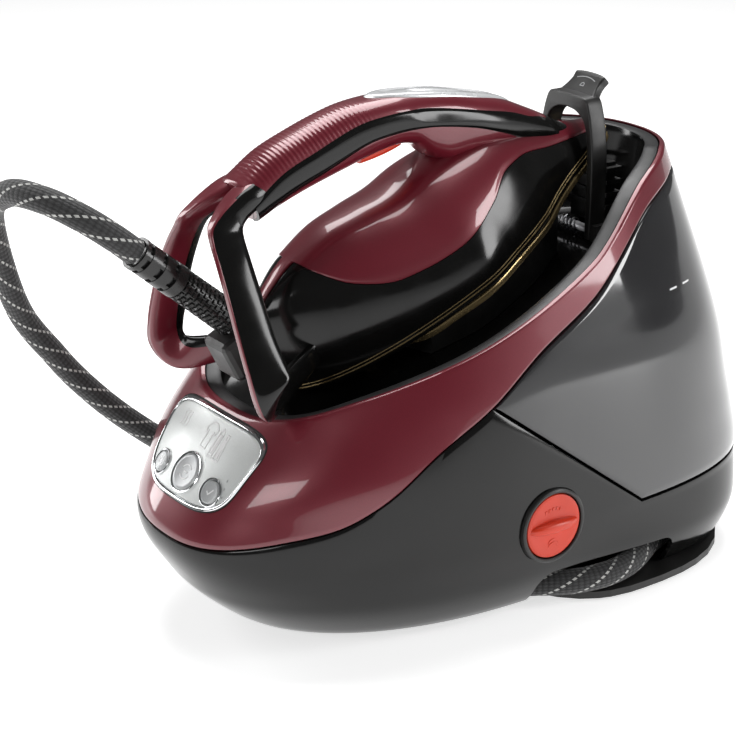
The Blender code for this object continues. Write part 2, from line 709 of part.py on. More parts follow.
# ---------------------------------------------------------------- generator: works
def make_works():
    """Boiler with its heater, pump, steam valve and tubes, and the glands of the mains lead and the hose."""
    radius = 0.036
    wall = 0.0012
    neck = 0.0125
    half = 0.070
    profile = (
        (neck - wall, half + 0.014), (neck, half + 0.014), (neck, half), (radius, half - 0.006),
        (radius, -half + 0.006), (neck, -half), (0.0, -half), (0.0, -half + wall), (neck, -half + wall),
        (radius - wall, -half + 0.007), (radius - wall, half - 0.007), (neck - wall, half - wall),
    )
    turned("boiler", profile, (0, COLLECTOR_Y, COLLECTOR_Z), (1, 0, 0), "steel", 24)
    heater_z = COLLECTOR_Z - radius - 0.0055
    box("boiler_heater", (0.100, 0.040, 0.010), (0, COLLECTOR_Y, heater_z), "aluminium", 0.002)
    box("pump", (0.036, 0.056, 0.024), (-0.030, 0.096, 0.0215), "satin_black", 0.003)
    box("steam_valve", (0.026, 0.026, 0.034), (0.030, -0.068, 0.030), "brass", 0.002)
    tube("feed_tube", spline_points(FEED_ROUTE, 10), 0.0030, "silicone_grey")
    tube("steam_tube", spline_points(STEAM_ROUTE, 8), 0.0035, "silicone_grey")
    inlet_profile = (
        (0.0045, 0.0055), (0.0062, 0.0055), (0.0085, 0.0015), (0.0100, 0.0015), (0.0100, 0.0), (0.0045, 0.0),
    )
    inlet_angle = math.radians(118)
    step = 0.02
    across = body_point(inlet_angle + step, INLET_Z) - body_point(inlet_angle - step, INLET_Z)
    outward = across.cross(Vector((0, 0, 1))).normalized()
    place = body_point(inlet_angle, INLET_Z) + outward * 0.0008
    turned("mains_inlet", inlet_profile, place, outward, "rubber_black", 16)
    start = Vector(HOSE_ROUTE[-1])
    towards = (Vector(HOSE_ROUTE[-2]) - start).normalized()
    gland_length = 0.0085
    gland_profile = (
        (0.0, 0.0), (0.0088, 0.0), (0.0080, -0.004), (0.0088, -0.005), (0.0088, -gland_length),
        (0.0, -gland_length),
    )
    turned("hose_outlet", gland_profile, start - towards * GAP, towards, "rubber_black", 16)


def make_collector():
    """The scale collector: a ring in the housing, and a knob on a rod that draws out of the boiler."""
    face = half_width(COLLECTOR_Z) + 0.0004
    seat = (face, COLLECTOR_Y, COLLECTOR_Z)
    rim = COLLECTOR_RADIUS + 0.0030
    ring_profile = (
        (COLLECTOR_RADIUS + GAP, 0.0016), (rim, 0.0010), (rim, -0.012), (0.0118, -0.012), (0.0118, -0.010),
        (COLLECTOR_RADIUS + GAP, -0.010),
    )
    turned("collector_ring", ring_profile, seat, (1, 0, 0), "satin_black", 28)
    cap_profile = (
        (0.0, 0.0010), (COLLECTOR_RADIUS - 0.003, 0.0010), (COLLECTOR_RADIUS - GAP, -0.0015),
        (COLLECTOR_RADIUS - GAP, -0.0085), (0.0, -0.0085),
    )
    cap = turned("collector_cap", cap_profile, seat, (1, 0, 0), "orange_red", 28)
    grip = box("collector_grip", (0.0065, 0.040, 0.0085), seat, "orange_red", 0.0015)
    modifier_cut(cap, as_cutter(grip), "UNION")
    rod_start = face - 0.0085 - GAP
    rod_length = 0.092
    rod_end = (rod_start - rod_length, COLLECTOR_Y, COLLECTOR_Z)
    rod("collector_rod", 0.0100, rod_length, rod_end, (1, 0, 0), "brass", 20)
    seal_profile = ((0.0103, 0.0015), (0.0111, 0.0015), (0.0111, -0.0015), (0.0103, -0.0015))
    turned("collector_seal", seal_profile, (0.077, COLLECTOR_Y, COLLECTOR_Z), (1, 0, 0), "rubber_black", 20)


def make_lever():
    """The lock lever: an arch over the iron's nose, with a thumb tab that leans back, on a sprung pin."""
    pivot_y, pivot_z = LEVER_PIVOT
    pin_half = 0.036
    leg = 0.0055
    inner = LEVER_HALF_GAP
    foot_end = -0.0048
    crown = LEVER_CROWN_Z - pivot_z
    window = LEVER_WINDOW_Z - pivot_z
    arch_rise = 0.012
    right = (
        (inner + leg, foot_end), (inner + leg + 0.001, 0.040), (inner + 0.004, 0.070), (inner, crown - 0.006),
        (inner - 0.006, crown),
    )
    left = [(-x, y) for x, y in reversed(right)]
    outline = [*right, *left, (-inner, foot_end), (-inner, window - arch_rise)]
    for i in range(1, 8):
        angle = math.pi * (1 - i / 8)
        outline.append((inner * math.cos(angle), window - arch_rise + arch_rise * math.sin(angle)))
    outline += [(inner, window - arch_rise), (inner, foot_end)]
    upright = Matrix.Translation((0, pivot_y, pivot_z)) @ Matrix.Rotation(math.pi / 2, 4, "X")
    lever = plate("lock_lever", [outline], 0.014, "satin_black", upright)
    tab_right = ((0.0185, 0.0), (0.0160, 0.0080), (0.0142, 0.0145), (0.0148, 0.0190), (0.0115, 0.0210))
    tab_outline = [*tab_right, *((-x, y) for x, y in reversed(tab_right))]
    tab_frame = Matrix.Translation((0, *TAB_FOOT)) @ Matrix.Rotation(TAB_LEAN, 4, "X")
    tab = plate("lever_tab", [tab_outline], TAB_THICKNESS, "satin_black", tab_frame)
    modifier_cut(lever, as_cutter(tab), "UNION")
    hole = rod("lever_hole", 0.0033, 0.1, (-0.05, pivot_y, pivot_z), (1, 0, 0), "satin_black", 16)
    modifier_cut(lever, as_cutter(hole))
    rod("lever_pin", 0.003, 2 * pin_half, (-pin_half, pivot_y, pivot_z), (1, 0, 0), "steel", 12)
    for side, x in (("left", -1), ("right", 1)):
        foot = deck_floor(pivot_y + 0.007) + 2 * GAP
        height = pivot_z + 0.006 - foot
        place = (x * 0.0312, pivot_y, foot + height / 2)
        bracket = box(f"lever_bracket_{side}", (0.005, 0.012, height), place, "satin_black")
        through = rod(f"bracket_hole_{side}", 0.0033, 0.1, (-0.05, pivot_y, pivot_z), (1, 0, 0), "steel", 16)
        modifier_cut(bracket, as_cutter(through))
    turns = 4
    per_turn = 8
    coil = []
    for i in range(turns * per_turn + 1):
        angle = 2 * math.pi * i / per_turn
        x = -0.008 + 0.016 * i / (turns * per_turn)
        coil.append((x, pivot_y + 0.0048 * math.cos(angle), pivot_z + 0.0048 * math.sin(angle)))
    tube("lever_spring", coil, 0.0008, "steel", 0)


# ---------------------------------------------------------------- generator: water tank
def body_block(name, low, high, inset, finish):
    """The generator's outline as a solid between two heights."""
    steps = 7
    heights = [low + (high - low) * i / (steps - 1) for i in range(steps)]
    return loft(name, [[body_point(a, z, inset) for a in ANGLES] for z in heights], finish)


def side_prism(name, profile, finish, half=0.2, parent=None):
    """A Y-Z outline as a solid across the whole width."""
    turn = Matrix(((0, 0, 1, 0), (1, 0, 0, 0), (0, 1, 0, 0), (0, 0, 0, 1)))
    return plate(name, [profile], 2 * half, finish, turn, parent)


def make_tank():
    """The smoked water tank, its lid, filler flap, valve and rear grip. It draws out to the rear."""
    corner_z = band_line(SEAM_CORNER_Y)
    slope = (corner_z - SEAM_FOOT[1]) / (SEAM_FOOT[0] - SEAM_CORNER_Y)
    diagonal = math.sqrt(1 + slope**2)
    back = 0.30
    seam_gap = 0.0016
    ceiling = [(y / 1000, band_line(y / 1000) - seam_gap) for y in range(-36, 145, 12)]
    shift = (seam_gap + 0.0010) * diagonal / slope
    ceiling.insert(0, (SEAM_CORNER_Y + shift, corner_z - seam_gap))
    base = SEAM_FOOT[1] + seam_gap
    lower = [(SEAM_FOOT[0] + shift, base), (back, base), (back, ceiling[-1][1])]
    wedge = side_prism("tank_wedge", lower + ceiling[::-1], "smoked_tank")
    tank = body_block("water_tank", SEAM_FOOT[1] - 0.01, 0.290, 0.0, "smoked_tank")
    modifier_cut(tank, as_cutter(wedge), "INTERSECT")
    inward = WALL * diagonal / slope
    floor = base + WALL
    foot_y = SEAM_FOOT[0] + shift + inward - (floor - base) / slope
    top_y = SEAM_CORNER_Y + 0.012
    top_z = corner_z - (top_y - SEAM_CORNER_Y - shift - inward) * slope
    hollow_profile = [(foot_y, floor), (back, floor), (back, 0.32), (top_y, 0.32), (top_y, top_z)]
    hollow = side_prism("tank_hollow", hollow_profile, "smoked_tank")
    inner = body_block("tank_inside", SEAM_FOOT[1] - 0.02, 0.310, SHELL_WALL, "smoked_tank")
    modifier_cut(inner, as_cutter(hollow), "INTERSECT")
    modifier_cut(tank, as_cutter(inner))

    lid_rows = []
    for drop in (0.0085, 0.0055):
        row = []
        for a in ANGLES:
            y = body_point(a, 0.15, SHELL_WALL + 0.0018).y
            z = deck_floor(max(y, -0.024)) - drop
            p = body_point(a, z, SHELL_WALL + 0.0018)
            row.append(Vector((p.x, max(p.y, -0.024), deck_floor(max(p.y, -0.024)) - drop)))
        lid_rows.append(row)
    lid = loft("tank_lid", lid_rows, "satin_black")
    hinge_y = 0.122
    flap_length = 0.034
    tilt = Matrix.Rotation(math.atan(DECK_FLOOR[1]), 3, "X")
    lid_middle = deck_floor(hinge_y) - 0.0070
    hinge = Vector((0, hinge_y, lid_middle))
    along_lid = tilt @ Vector((0, 1, 0))
    mouth_size = (0.042, flap_length + 0.0035, 0.02)
    mouth_place = hinge - along_lid * (flap_length / 2 - 0.0012)
    mouth = box("filler_mouth", mouth_size, mouth_place, "satin_black", 0.0, tilt)
    modifier_cut(lid, as_cutter(mouth))
    flap = box("filler_flap", (0.0408, flap_length, 0.0020), (0, 0, 0), "satin_black")
    flap.data.transform(Matrix.Translation((0, -flap_length / 2, 0)))
    flap.matrix_basis = Matrix.Translation(hinge) @ tilt.to_4x4()
    bar = rod("flap_bar", 0.0016, 0.0408, hinge - Vector((0.0204, 0, 0)), (1, 0, 0), "satin_black", 12)
    modifier_cut(flap, as_cutter(bar), "UNION")

    angles = [math.radians(90 + 22 * (i / 8 - 1)) for i in range(17)]
    out = -0.0032
    rows_out = []
    rows_in = []
    for z in (0.092, 0.130, 0.170, 0.210, 0.258):
        rows_out.append([body_point(a, z, out) for a in angles])
        rows_in.append([body_point(a, z, -0.0006) for a in reversed(angles)])
    loft("tank_grip", [o + i for o, i in zip(rows_out, rows_in)], "gloss_black")
    valve_profile = ((0.0, 0.006), (0.008, 0.006), (0.009, 0.0), (0.0, 0.0))
    turned("tank_valve", valve_profile, (0, 0.104, base + WALL + GAP), (0, 0, 1), "satin_black", 16)


# ---------------------------------------------------------------- iron
iron_frame = bpy.data.objects.new("iron_frame", None)
parts.objects.link(iron_frame)
iron_frame.matrix_basis = Matrix.Translation(NOSE) @ Matrix.Rotation(SOLE_ANGLE, 4, "X")

crest_height = smooth(
    ((0.0, 0.018), (0.020, 0.028), (0.050, 0.048), (0.080, 0.066), (0.110, 0.077), (0.150, 0.081),
     (0.170, 0.080), (0.200, 0.084), (0.226, 0.087), (0.257, 0.083), (0.280, 0.075), (0.300, 0.062))
)
bonnet_line = smooth(
    ((0.0, 0.012), (0.025, 0.023), (0.055, 0.036), (0.090, 0.053), (0.105, 0.055), (0.127, 0.048),
     (0.167, 0.042), (0.209, 0.047), (0.238, 0.061), (0.252, 0.076), (0.260, 0.090))
)
grip_top = smooth(
    ((0.030, 0.032), (0.046, 0.053), (0.055, 0.064), (0.073, 0.0845), (0.086, 0.096), (0.119, 0.121),
     (0.157, 0.141), (0.183, 0.150), (0.214, 0.155), (0.238, 0.157), (0.265, 0.153), (0.296, 0.147))
)
grip_bottom = smooth(
    ((0.030, 0.018), (0.080, 0.048), (0.108, 0.061), (0.126, 0.068), (0.137, 0.081), (0.145, 0.097),
     (0.160, 0.106), (0.202, 0.115), (0.237, 0.121), (0.265, 0.124), (0.296, 0.127))
)
grip_half = smooth(
    ((0.030, 0.009), (0.060, 0.016), (0.100, 0.0205), (0.150, 0.0195), (0.200, 0.0185), (0.250, 0.0185),
     (0.296, 0.0215))
)
BODY_BASE = 0.0062


def skirt_half(s):
    """Half width of the iron's body, over the sole and beyond its heel."""
    share = min(1.0, max(0.0, s / SKIRT_LENGTH))
    return (SOLE_HALF_WIDTH + 0.001) * 2 * math.sqrt(share * (1 - share)) * skirt_shape(share)


skirt_shape = smooth(
    ((0.0, 0.36), (0.060, 0.418), (0.163, 0.492), (0.230, 0.592), (0.317, 0.770), (0.423, 0.884),
     (0.540, 0.985), (0.717, 0.985), (1.0, 1.0))
)


def iron_point(turn, share, low, high, inset=0.0):
    """A point of the iron's body: turn goes round from the nose, share goes up from low to high."""
    s = SKIRT_LENGTH / 2 * (1 - math.cos(turn))
    half = skirt_half(s)
    crest = crest_height(s) - inset
    h = low(s) + share * (high(s) - low(s))
    h = min(h, crest)
    rise = max(0.0, (h - BODY_BASE) / (crest - BODY_BASE))
    arch = (1 - rise**2.2) ** (1 / 2.2)
    side = 1 if math.sin(turn) >= 0 else -1
    x = side * max(0.0, half - inset) * arch
    margin = inset * math.cos(turn)
    return Vector((x, -s - margin, h))


def make_iron_body():
    """The gold soleplate, steam chamber, black skirt and burgundy bonnet."""
    loops = [2 * math.pi * i / 36 for i in range(36)]

    def sole_ring(inset, h):
        row = []
        for turn in loops:
            s = SOLE_LENGTH / 2 * (1 - math.cos(turn))
            half = max(0.0, sole_half(s) - inset)
            x = half if math.sin(turn) >= 0 else -half
            row.append(Vector((x, -s - inset * math.cos(turn), h)))
        return row

    sole_rows = [sole_ring(0.002, 0.0), sole_ring(0.0, 0.0015), sole_ring(0.0, 0.0055)]
    loft("soleplate", sole_rows, "gold_ceramic", iron_frame)
    chamber_rows = []
    for h in (0.0058, 0.018):
        row = []
        for turn in loops[::2]:
            s = 0.115 * (1 - math.cos(turn)) * 0.82 + 0.036
            half = max(0.0, sole_half(s) - 0.009) * math.sin(turn) / max(0.5, abs(math.sin(turn)))
            row.append(Vector((half, -s, h)))
        chamber_rows.append(row)
    loft("steam_chamber", chamber_rows, "aluminium", iron_frame)

    shares = (0.0, 0.2, 0.4, 0.6, 0.78, 0.92, 1.0)

    def base(_):
        return BODY_BASE

    def inner_crest(s):
        return crest_height(s) - WALL

    def body_shell(name, finish):
        outer = [[iron_point(t, v, base, crest_height) for t in loops] for v in shares]
        inner = [[iron_point(t, v, base, inner_crest, WALL) for t in loops] for v in shares]
        return walled(name, outer, inner, finish, iron_frame, True)

    def bonnet_prism(name, drop):
        tops = [i * 0.010 for i in range(27)]
        outline = [(-0.27, 0.2), (0.02, 0.2), (0.02, bonnet_line(0.0) - drop)]
        outline += [(-s, bonnet_line(s) - drop) for s in tops]
        return side_prism(name, outline, "burgundy", 0.08, iron_frame)

    skirt = body_shell("skirt", "satin_black")
    modifier_cut(skirt, as_cutter(bonnet_prism("bonnet_space", GAP)))
    bonnet = body_shell("bonnet", "burgundy")
    modifier_cut(bonnet, as_cutter(bonnet_prism("bonnet_region", 0.0)), "INTERSECT")
    modifier_cut(bonnet, as_cutter(grip_loft("grip_space", 0.0005, "burgundy")))
    modifier_cut(skirt, as_cutter(grip_loft("grip_space_skirt", 0.0005, "burgundy")))


def grip_section(s, grow, steps=14):
    """The handle's rounded section at a distance from the nose."""
    top = grip_top(s) + grow
    bottom = grip_bottom(s) - grow
    row = []
    for i in range(steps):
        angle = 2 * math.pi * i / steps
        c = math.cos(angle)
        w = math.sin(angle)
        k = (abs(c) ** 2.8 + abs(w) ** 2.8) ** (-1 / 2.8)
        height = (top + bottom) / 2 + (top - bottom) / 2 * k * w
        row.append(Vector(((grip_half(s) + grow) * k * c, -s, height)))
    return row


GRIP_STATIONS = (
    0.032, 0.042, 0.055, 0.070, 0.086, 0.102, 0.116, 0.127, 0.137, 0.145, 0.158, 0.178, 0.200, 0.225, 0.250,
    0.270, 0.282,
)


def grip_loft(name, grow, finish):
    ends = (GRIP_STATIONS[0] - grow, GRIP_STATIONS[-1] + grow)
    rows = [grip_section(s, grow) for s in GRIP_STATIONS]
    for row, end in ((rows[0], ends[0]), (rows[-1], ends[1])):
        for point in row:
            point.y = -end
    return loft(name, rows, finish, iron_frame)


def make_handle():
    """The handle loop with its trigger pocket, black side bands and silver insert."""
    handle = grip_loft("handle", 0.0, "burgundy")
    pocket = box("trigger_pocket", (0.0126, 0.036, 0.024), (0, 0, 0), "burgundy")
    pocket.parent = iron_frame
    pocket.matrix_basis = trigger_matrix(TRIGGER_S) @ Matrix.Translation((0, 0, -0.003))
    modifier_cut(handle, as_cutter(pocket))
    stations = [s for s in GRIP_STATIONS if 0.050 < s < 0.272]
    for side, sign in (("left", -1), ("right", 1)):
        rows = []
        for s in stations:
            top = grip_top(s)
            bottom = grip_bottom(s)
            high = top - 0.30 * (top - bottom)
            low = top - 0.62 * (top - bottom)
            x = grip_half(s)
            near = sign * (x + GAP)
            far = sign * (x + 0.0018)
            row = [(near, high), (far, high - 0.001), (far, low + 0.001), (near, low)]
            rows.append([Vector((a, -s, b)) for a, b in row])
        loft(f"handle_band_{side}", rows, "gloss_black", iron_frame)
    rows = []
    for i in range(13):
        s = INSERT_S[0] + (INSERT_S[1] - INSERT_S[0]) * i / 12
        half = INSERT_HALF_WIDTH * math.sqrt(max(0.04, 1 - ((i - 6) / 6) ** 2))
        low = grip_top(s) + GAP * 1.5
        section = ((half, 0), (half * 0.8, 0.0014), (-half * 0.8, 0.0014), (-half, 0))
        rows.append([Vector((x, -s, low + h)) for x, h in section])
    loft("grip_insert", rows, "chrome", iron_frame)


def trigger_matrix(s):
    """The frame, inside the iron's, of the trigger: on the grip's underside, along its slope."""
    step = 0.01
    slope = (grip_bottom(s + step) - grip_bottom(s - step)) / (2 * step)
    return Matrix.Translation((0, -s, grip_bottom(s))) @ Matrix.Rotation(-math.atan(slope), 4, "X")


def make_trigger():
    """The steam trigger under the grip, on its pin near its front end."""
    frame = trigger_matrix(TRIGGER_S)
    trigger = box("trigger", (0.0116, 0.032, 0.0075), (0, 0, 0), "orange_red", 0.0015)
    trigger.parent = iron_frame
    trigger.matrix_basis = frame
    hole = rod("trigger_hole", 0.0016, 0.03, (-0.015, *TRIGGER_PIN), (1, 0, 0), "steel", 12)
    hole.parent = iron_frame
    hole.matrix_basis = frame @ hole.matrix_basis
    modifier_cut(trigger, as_cutter(hole))
    pin = rod("trigger_pin", 0.0012, 0.0120, (-0.0060, *TRIGGER_PIN), (1, 0, 0), "steel", 10)
    pin.parent = iron_frame
    pin.matrix_basis = frame @ pin.matrix_basis


def strap(name, path, finish):
    """A flat strap through stations of centre, half thickness across X, and half depth in Y and Z."""
    rows = []
    for centre, across, depth in path:
        c = Vector(centre)
        a = Vector((across, 0, 0))
        d = Vector((0, *depth))
        corners = ((1, 0.75), (0.6, 1), (-0.6, 1), (-1, 0.75), (-1, -0.75), (-0.6, -1), (0.6, -1), (1, -0.75))
        rows.append([c + a * u + d * v for u, v in corners])
    return loft(name, rows, finish)


def make_heel():
    """The two legs of the heel stand, the swivel block between them and the hose's ribbed sleeve."""
    for side, sign in (("left", -1), ("right", 1)):
        path = [((sign * x, y, z), sign * across, depth) for (x, y, z), across, depth in LEG_STATIONS]
        strap(f"heel_leg_{side}", path, "burgundy")
    size, place = (0.028, 0.026, 0.0295), (0, -0.3148, 0.05375)
    block = box("swivel_block", size, place, "satin_black", 0.004, None, iron_frame)
    towards = (Vector(HOSE_ROUTE[1]) - Vector(HOSE_ROUTE[0])).normalized()
    mouth = Vector(HOSE_ROUTE[0]) - towards * 4 * GAP
    length = SLEEVE_LENGTH
    neck_top = mouth - towards * (length + GAP)
    neck = rod("swivel_neck", HOSE_RADIUS, 0.009, neck_top, -towards, "satin_black", 16)
    modifier_cut(block, as_cutter(neck), "UNION")
    profile = [(0.0, 0.0), (SLEEVE_RADIUS, 0.0)]
    ribs = 7
    pitch = (length - 0.010) / ribs
    for i in range(ribs):
        start = -0.004 - i * pitch
        radius = SLEEVE_RADIUS + SLEEVE_GROWTH * (i + 1) / ribs
        groove = radius - SLEEVE_GROOVE
        rib = ((radius, start), (radius, start - 0.58 * pitch))
        profile += [*rib, (groove, start - 0.62 * pitch), (groove, start - 0.93 * pitch)]
    profile += [(SLEEVE_RADIUS + SLEEVE_GROWTH, -length), (0.0, -length)]
    turned("hose_sleeve", profile, mouth, towards, "rubber_black", 12)


def make_hose():
    tube("steam_hose", spline_points(HOSE_ROUTE, HOSE_POINTS), HOSE_RADIUS, "hose_fabric", 2)


make_base()
make_housing()
make_front_shell()
make_panel()
make_deck()
make_catch()
make_works()
make_collector()
make_lever()
make_tank()
make_iron_body()
make_handle()
make_trigger()
make_heel()
make_hose()
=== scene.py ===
"""Looks of the steam generator iron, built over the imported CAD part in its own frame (metres, +Z up)."""

import math

import bmesh
import bpy
from mathutils import Matrix, Vector


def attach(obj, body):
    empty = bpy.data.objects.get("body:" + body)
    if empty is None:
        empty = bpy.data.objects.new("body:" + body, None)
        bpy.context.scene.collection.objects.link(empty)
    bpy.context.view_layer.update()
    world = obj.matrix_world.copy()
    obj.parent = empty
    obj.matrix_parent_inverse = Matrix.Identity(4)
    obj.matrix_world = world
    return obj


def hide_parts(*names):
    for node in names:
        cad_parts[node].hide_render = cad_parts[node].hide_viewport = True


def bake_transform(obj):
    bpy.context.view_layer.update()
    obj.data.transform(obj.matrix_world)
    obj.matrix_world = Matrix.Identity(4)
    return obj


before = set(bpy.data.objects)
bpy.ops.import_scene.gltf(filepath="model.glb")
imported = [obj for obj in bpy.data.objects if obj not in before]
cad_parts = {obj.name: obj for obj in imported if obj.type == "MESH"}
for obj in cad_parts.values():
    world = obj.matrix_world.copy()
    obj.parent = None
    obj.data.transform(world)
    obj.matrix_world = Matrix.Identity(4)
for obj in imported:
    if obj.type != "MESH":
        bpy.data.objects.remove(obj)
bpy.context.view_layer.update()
scene = bpy.context.scene

GAP = 0.0003
WALL = 0.0025
SHELL_WALL = 0.0032

# ------------------------------------------------------------------ the generator's form, as in the CAD
BODY_CENTRE_Y = 0.0085
HALF_WIDTH = (
    (0.0, 0.094), (0.015, 0.108), (0.040, 0.121), (0.075, 0.128), (0.105, 0.127), (0.130, 0.125),
    (0.160, 0.121), (0.200, 0.113), (0.250, 0.103), (0.290, 0.094), (0.320, 0.086),
)
FRONT_REACH = (
    (0.0, 0.165), (0.015, 0.188), (0.040, 0.213), (0.075, 0.230), (0.105, 0.216), (0.130, 0.198),
    (0.160, 0.172), (0.200, 0.140), (0.250, 0.105), (0.290, 0.085), (0.320, 0.070),
)
REAR_REACH = (
    (0.0, 0.197), (0.015, 0.205), (0.040, 0.211), (0.075, 0.213), (0.105, 0.207), (0.130, 0.201),
    (0.160, 0.196), (0.200, 0.187), (0.250, 0.172), (0.290, 0.160), (0.320, 0.150),
)
FRONT_POWER = ((0.0, 2.2), (0.040, 2.3), (0.075, 2.4), (0.105, 2.6), (0.130, 2.8), (0.160, 2.8), (0.200, 2.6))
REAR_POWER = ((0.0, 3.2), (0.150, 3.0), (0.220, 2.6), (0.290, 2.2))
REAR_FLARE = ((0.0, 0.017), (0.034, 0.013), (0.066, 0.0))
RIM_LINE = (
    (-0.1715, 0.1520), (-0.1265, 0.1730), (-0.0365, 0.2020), (0.0435, 0.2360), (0.1035, 0.2770),
    (0.1435, 0.2880),
)
BAND_LINE = (
    (-0.2225, 0.0780), (-0.1835, 0.0910), (-0.1515, 0.1000), (-0.1265, 0.1130), (-0.0885, 0.1400),
    (-0.0485, 0.1620), (-0.0085, 0.1890), (0.0385, 0.2140), (0.1045, 0.2620), (0.1435, 0.2720),
)
SEAM_CORNER_Y = -0.0485
SEAM_FOOT = (0.0745, 0.070)
TRAY_TOP = 0.008
WINDOW_Y = (-0.0040, 0.1115)
WINDOW_TOP = 0.034
DECK_FLOOR = (0.1845, 0.300)
PANEL_CENTRE_Z = 0.1245
PANEL_HALF_HEIGHT = 0.0225
PANEL_HALF_WIDTH = 0.048
PANEL_TAPER = 0.006
PANEL_POWER = 4.0
BUTTONS = {
    "power_button": (-0.030, 0.112, 0.0072),
    "mode_button": (0.0, 0.115, 0.0125),
    "ok_button": (0.030, 0.112, 0.0078),
}
COLLECTOR_Y = -0.0045
COLLECTOR_Z = 0.074
COLLECTOR_RADIUS = 0.0225
LEVER_PIVOT = (0.1115, 0.226)
TAB_FOOT = (0.1120, 0.3120)
TAB_LEAN = math.radians(45)

# The iron, in its own frame: x across, s back along the sole from the tip, h up from the sole
NOSE = Vector((0.0, 0.1435, 0.283))
SOLE_ANGLE = math.atan(0.5)
SOLE_LENGTH = 0.235
SOLE_HALF_WIDTH = 0.058
SKIRT_LENGTH = 0.300
TRIGGER_S = 0.167
INSERT_S = (0.064, 0.160)
INSERT_HALF_WIDTH = 0.0125
RIBS_S = (0.163, 0.264)
HANDLE_END = 0.268
GRIP_POWER = 2.6  # how square the grip's section is
SWELL = 0.0008  # how far the bonnet stands over the skirt at the seam
RIM_ROWS = 6  # the deck's outer rows of faces, which carry the rim's grey
BODY_BASE = 0.0062
IRON_FRAME = Matrix.Translation(NOSE) @ Matrix.Rotation(SOLE_ANGLE, 4, "X")

HOSE_RADIUS = 0.0085
BORE_RADIUS = 0.0089  # of the guard that the hose goes into
HOSE_ROUTE = (
    (0.0000, -0.2320, 0.2675), (0.0000, -0.2440, 0.2778), (-0.0073, -0.2605, 0.2909),
    (-0.0278, -0.2760, 0.3004), (-0.0617, -0.2834, 0.2976), (-0.1024, -0.2773, 0.2702),
    (-0.1381, -0.2468, 0.1963), (-0.1466, -0.2170, 0.1526), (-0.1487, -0.1968, 0.1271),
    (-0.1491, -0.1718, 0.1006), (-0.1495, -0.1419, 0.0739), (-0.1503, -0.1080, 0.0467),
    (-0.1488, -0.0751, 0.0295), (-0.1457, -0.0428, 0.0269), (-0.1413, -0.0050, 0.0370),
    (-0.1412, 0.0340, 0.0385), (-0.1493, 0.0925, 0.0118), (-0.1669, 0.1263, 0.0087),
    (-0.1993, 0.1481, 0.0087), (-0.2393, 0.1506, 0.0087), (-0.2768, 0.1315, 0.0087),
    (-0.2985, 0.0958, 0.0087), (-0.2987, 0.0472, 0.0087), (-0.2778, 0.0114, 0.0087),
    (-0.2419, -0.0080, 0.0087), (-0.2026, -0.0066, 0.0087), (-0.1650, 0.0154, 0.0100),
    (-0.1400, 0.0415, 0.0152), (-0.1137, 0.0756, 0.0172), (-0.0964, 0.1072, 0.0172),
    (-0.0841, 0.1389, 0.0172), (-0.0574, 0.1715, 0.0172), (-0.0005, 0.1920, 0.0172),
    (0.0574, 0.1713, 0.0172), (0.0843, 0.1387, 0.0172), (0.0966, 0.1095, 0.0172),
    (0.1117, 0.0797, 0.0172), (0.1163, 0.0534, 0.0172), (0.1112, 0.0275, 0.0172),
    (0.0974, 0.0027, 0.0172), (0.0880, -0.0105, 0.0172),
)


def smooth(knots):
    """A monotone cubic curve through (x, y) knots, held level beyond its ends."""
    xs = [k[0] for k in knots]
    ys = [k[1] for k in knots]
    rises = [(ys[i + 1] - ys[i]) / (xs[i + 1] - xs[i]) for i in range(len(xs) - 1)]
    slopes = [rises[0]]
    for before, after in zip(rises, rises[1:]):
        slopes.append(0.0 if before * after <= 0 else 2 * before * after / (before + after))
    slopes.append(rises[-1])

    def value(x):
        if x <= xs[0]:
            return ys[0]
        if x >= xs[-1]:
            return ys[-1]
        i = next(n for n in range(len(xs) - 1) if x <= xs[n + 1])
        width = xs[i + 1] - xs[i]
        t = (x - xs[i]) / width
        return (
            (1 + 2 * t) * (1 - t) ** 2 * ys[i]
            + t * (1 - t) ** 2 * width * slopes[i]
            + t * t * (3 - 2 * t) * ys[i + 1]
            + t * t * (t - 1) * width * slopes[i + 1]
        )

    return value


half_width = smooth(HALF_WIDTH)
front_reach = smooth(FRONT_REACH)
rear_reach = smooth(REAR_REACH)
front_power = smooth(FRONT_POWER)
rear_power = smooth(REAR_POWER)
rear_flare = smooth(REAR_FLARE)
rim_line = smooth(RIM_LINE)
band_line = smooth(BAND_LINE)


def housing_line(y):
    if y <= SEAM_CORNER_Y:
        return band_line(y)
    share = min(1.0, (y - SEAM_CORNER_Y) / (SEAM_FOOT[0] - SEAM_CORNER_Y))
    return band_line(SEAM_CORNER_Y) + share * (SEAM_FOOT[1] - band_line(SEAM_CORNER_Y))


def deck_floor(y):
    return DECK_FLOOR[0] + DECK_FLOOR[1] * y


def body_point(angle, z, inset=0.0):
    """A point of the generator's outer surface. Angle 0 is +X and a quarter turn is the rear."""
    c = math.cos(angle)
    s = math.sin(angle)
    half = half_width(z) - inset
    if s > 0:
        half += rear_flare(z) * math.sin(2 * angle) ** 2
    reach = (rear_reach(z) if s > 0 else front_reach(z)) - inset
    power = rear_power(z) if s > 0 else front_power(z)
    k = (abs(c) ** power + abs(s) ** power) ** (-1 / power)
    return Vector((half * k * c, BODY_CENTRE_Y + reach * k * s, z))


def front_point(x, z, inset=0.0):
    power = front_power(z)
    share = 1 - (abs(x) / (half_width(z) - inset)) ** power
    return Vector((x, BODY_CENTRE_Y - (front_reach(z) - inset) * share ** (1 / power), z))


def surface_normal(x, z):
    step = 0.001
    across = front_point(x + step, z) - front_point(x - step, z)
    up = front_point(x, z + step) - front_point(x, z - step)
    return across.cross(up).normalized()


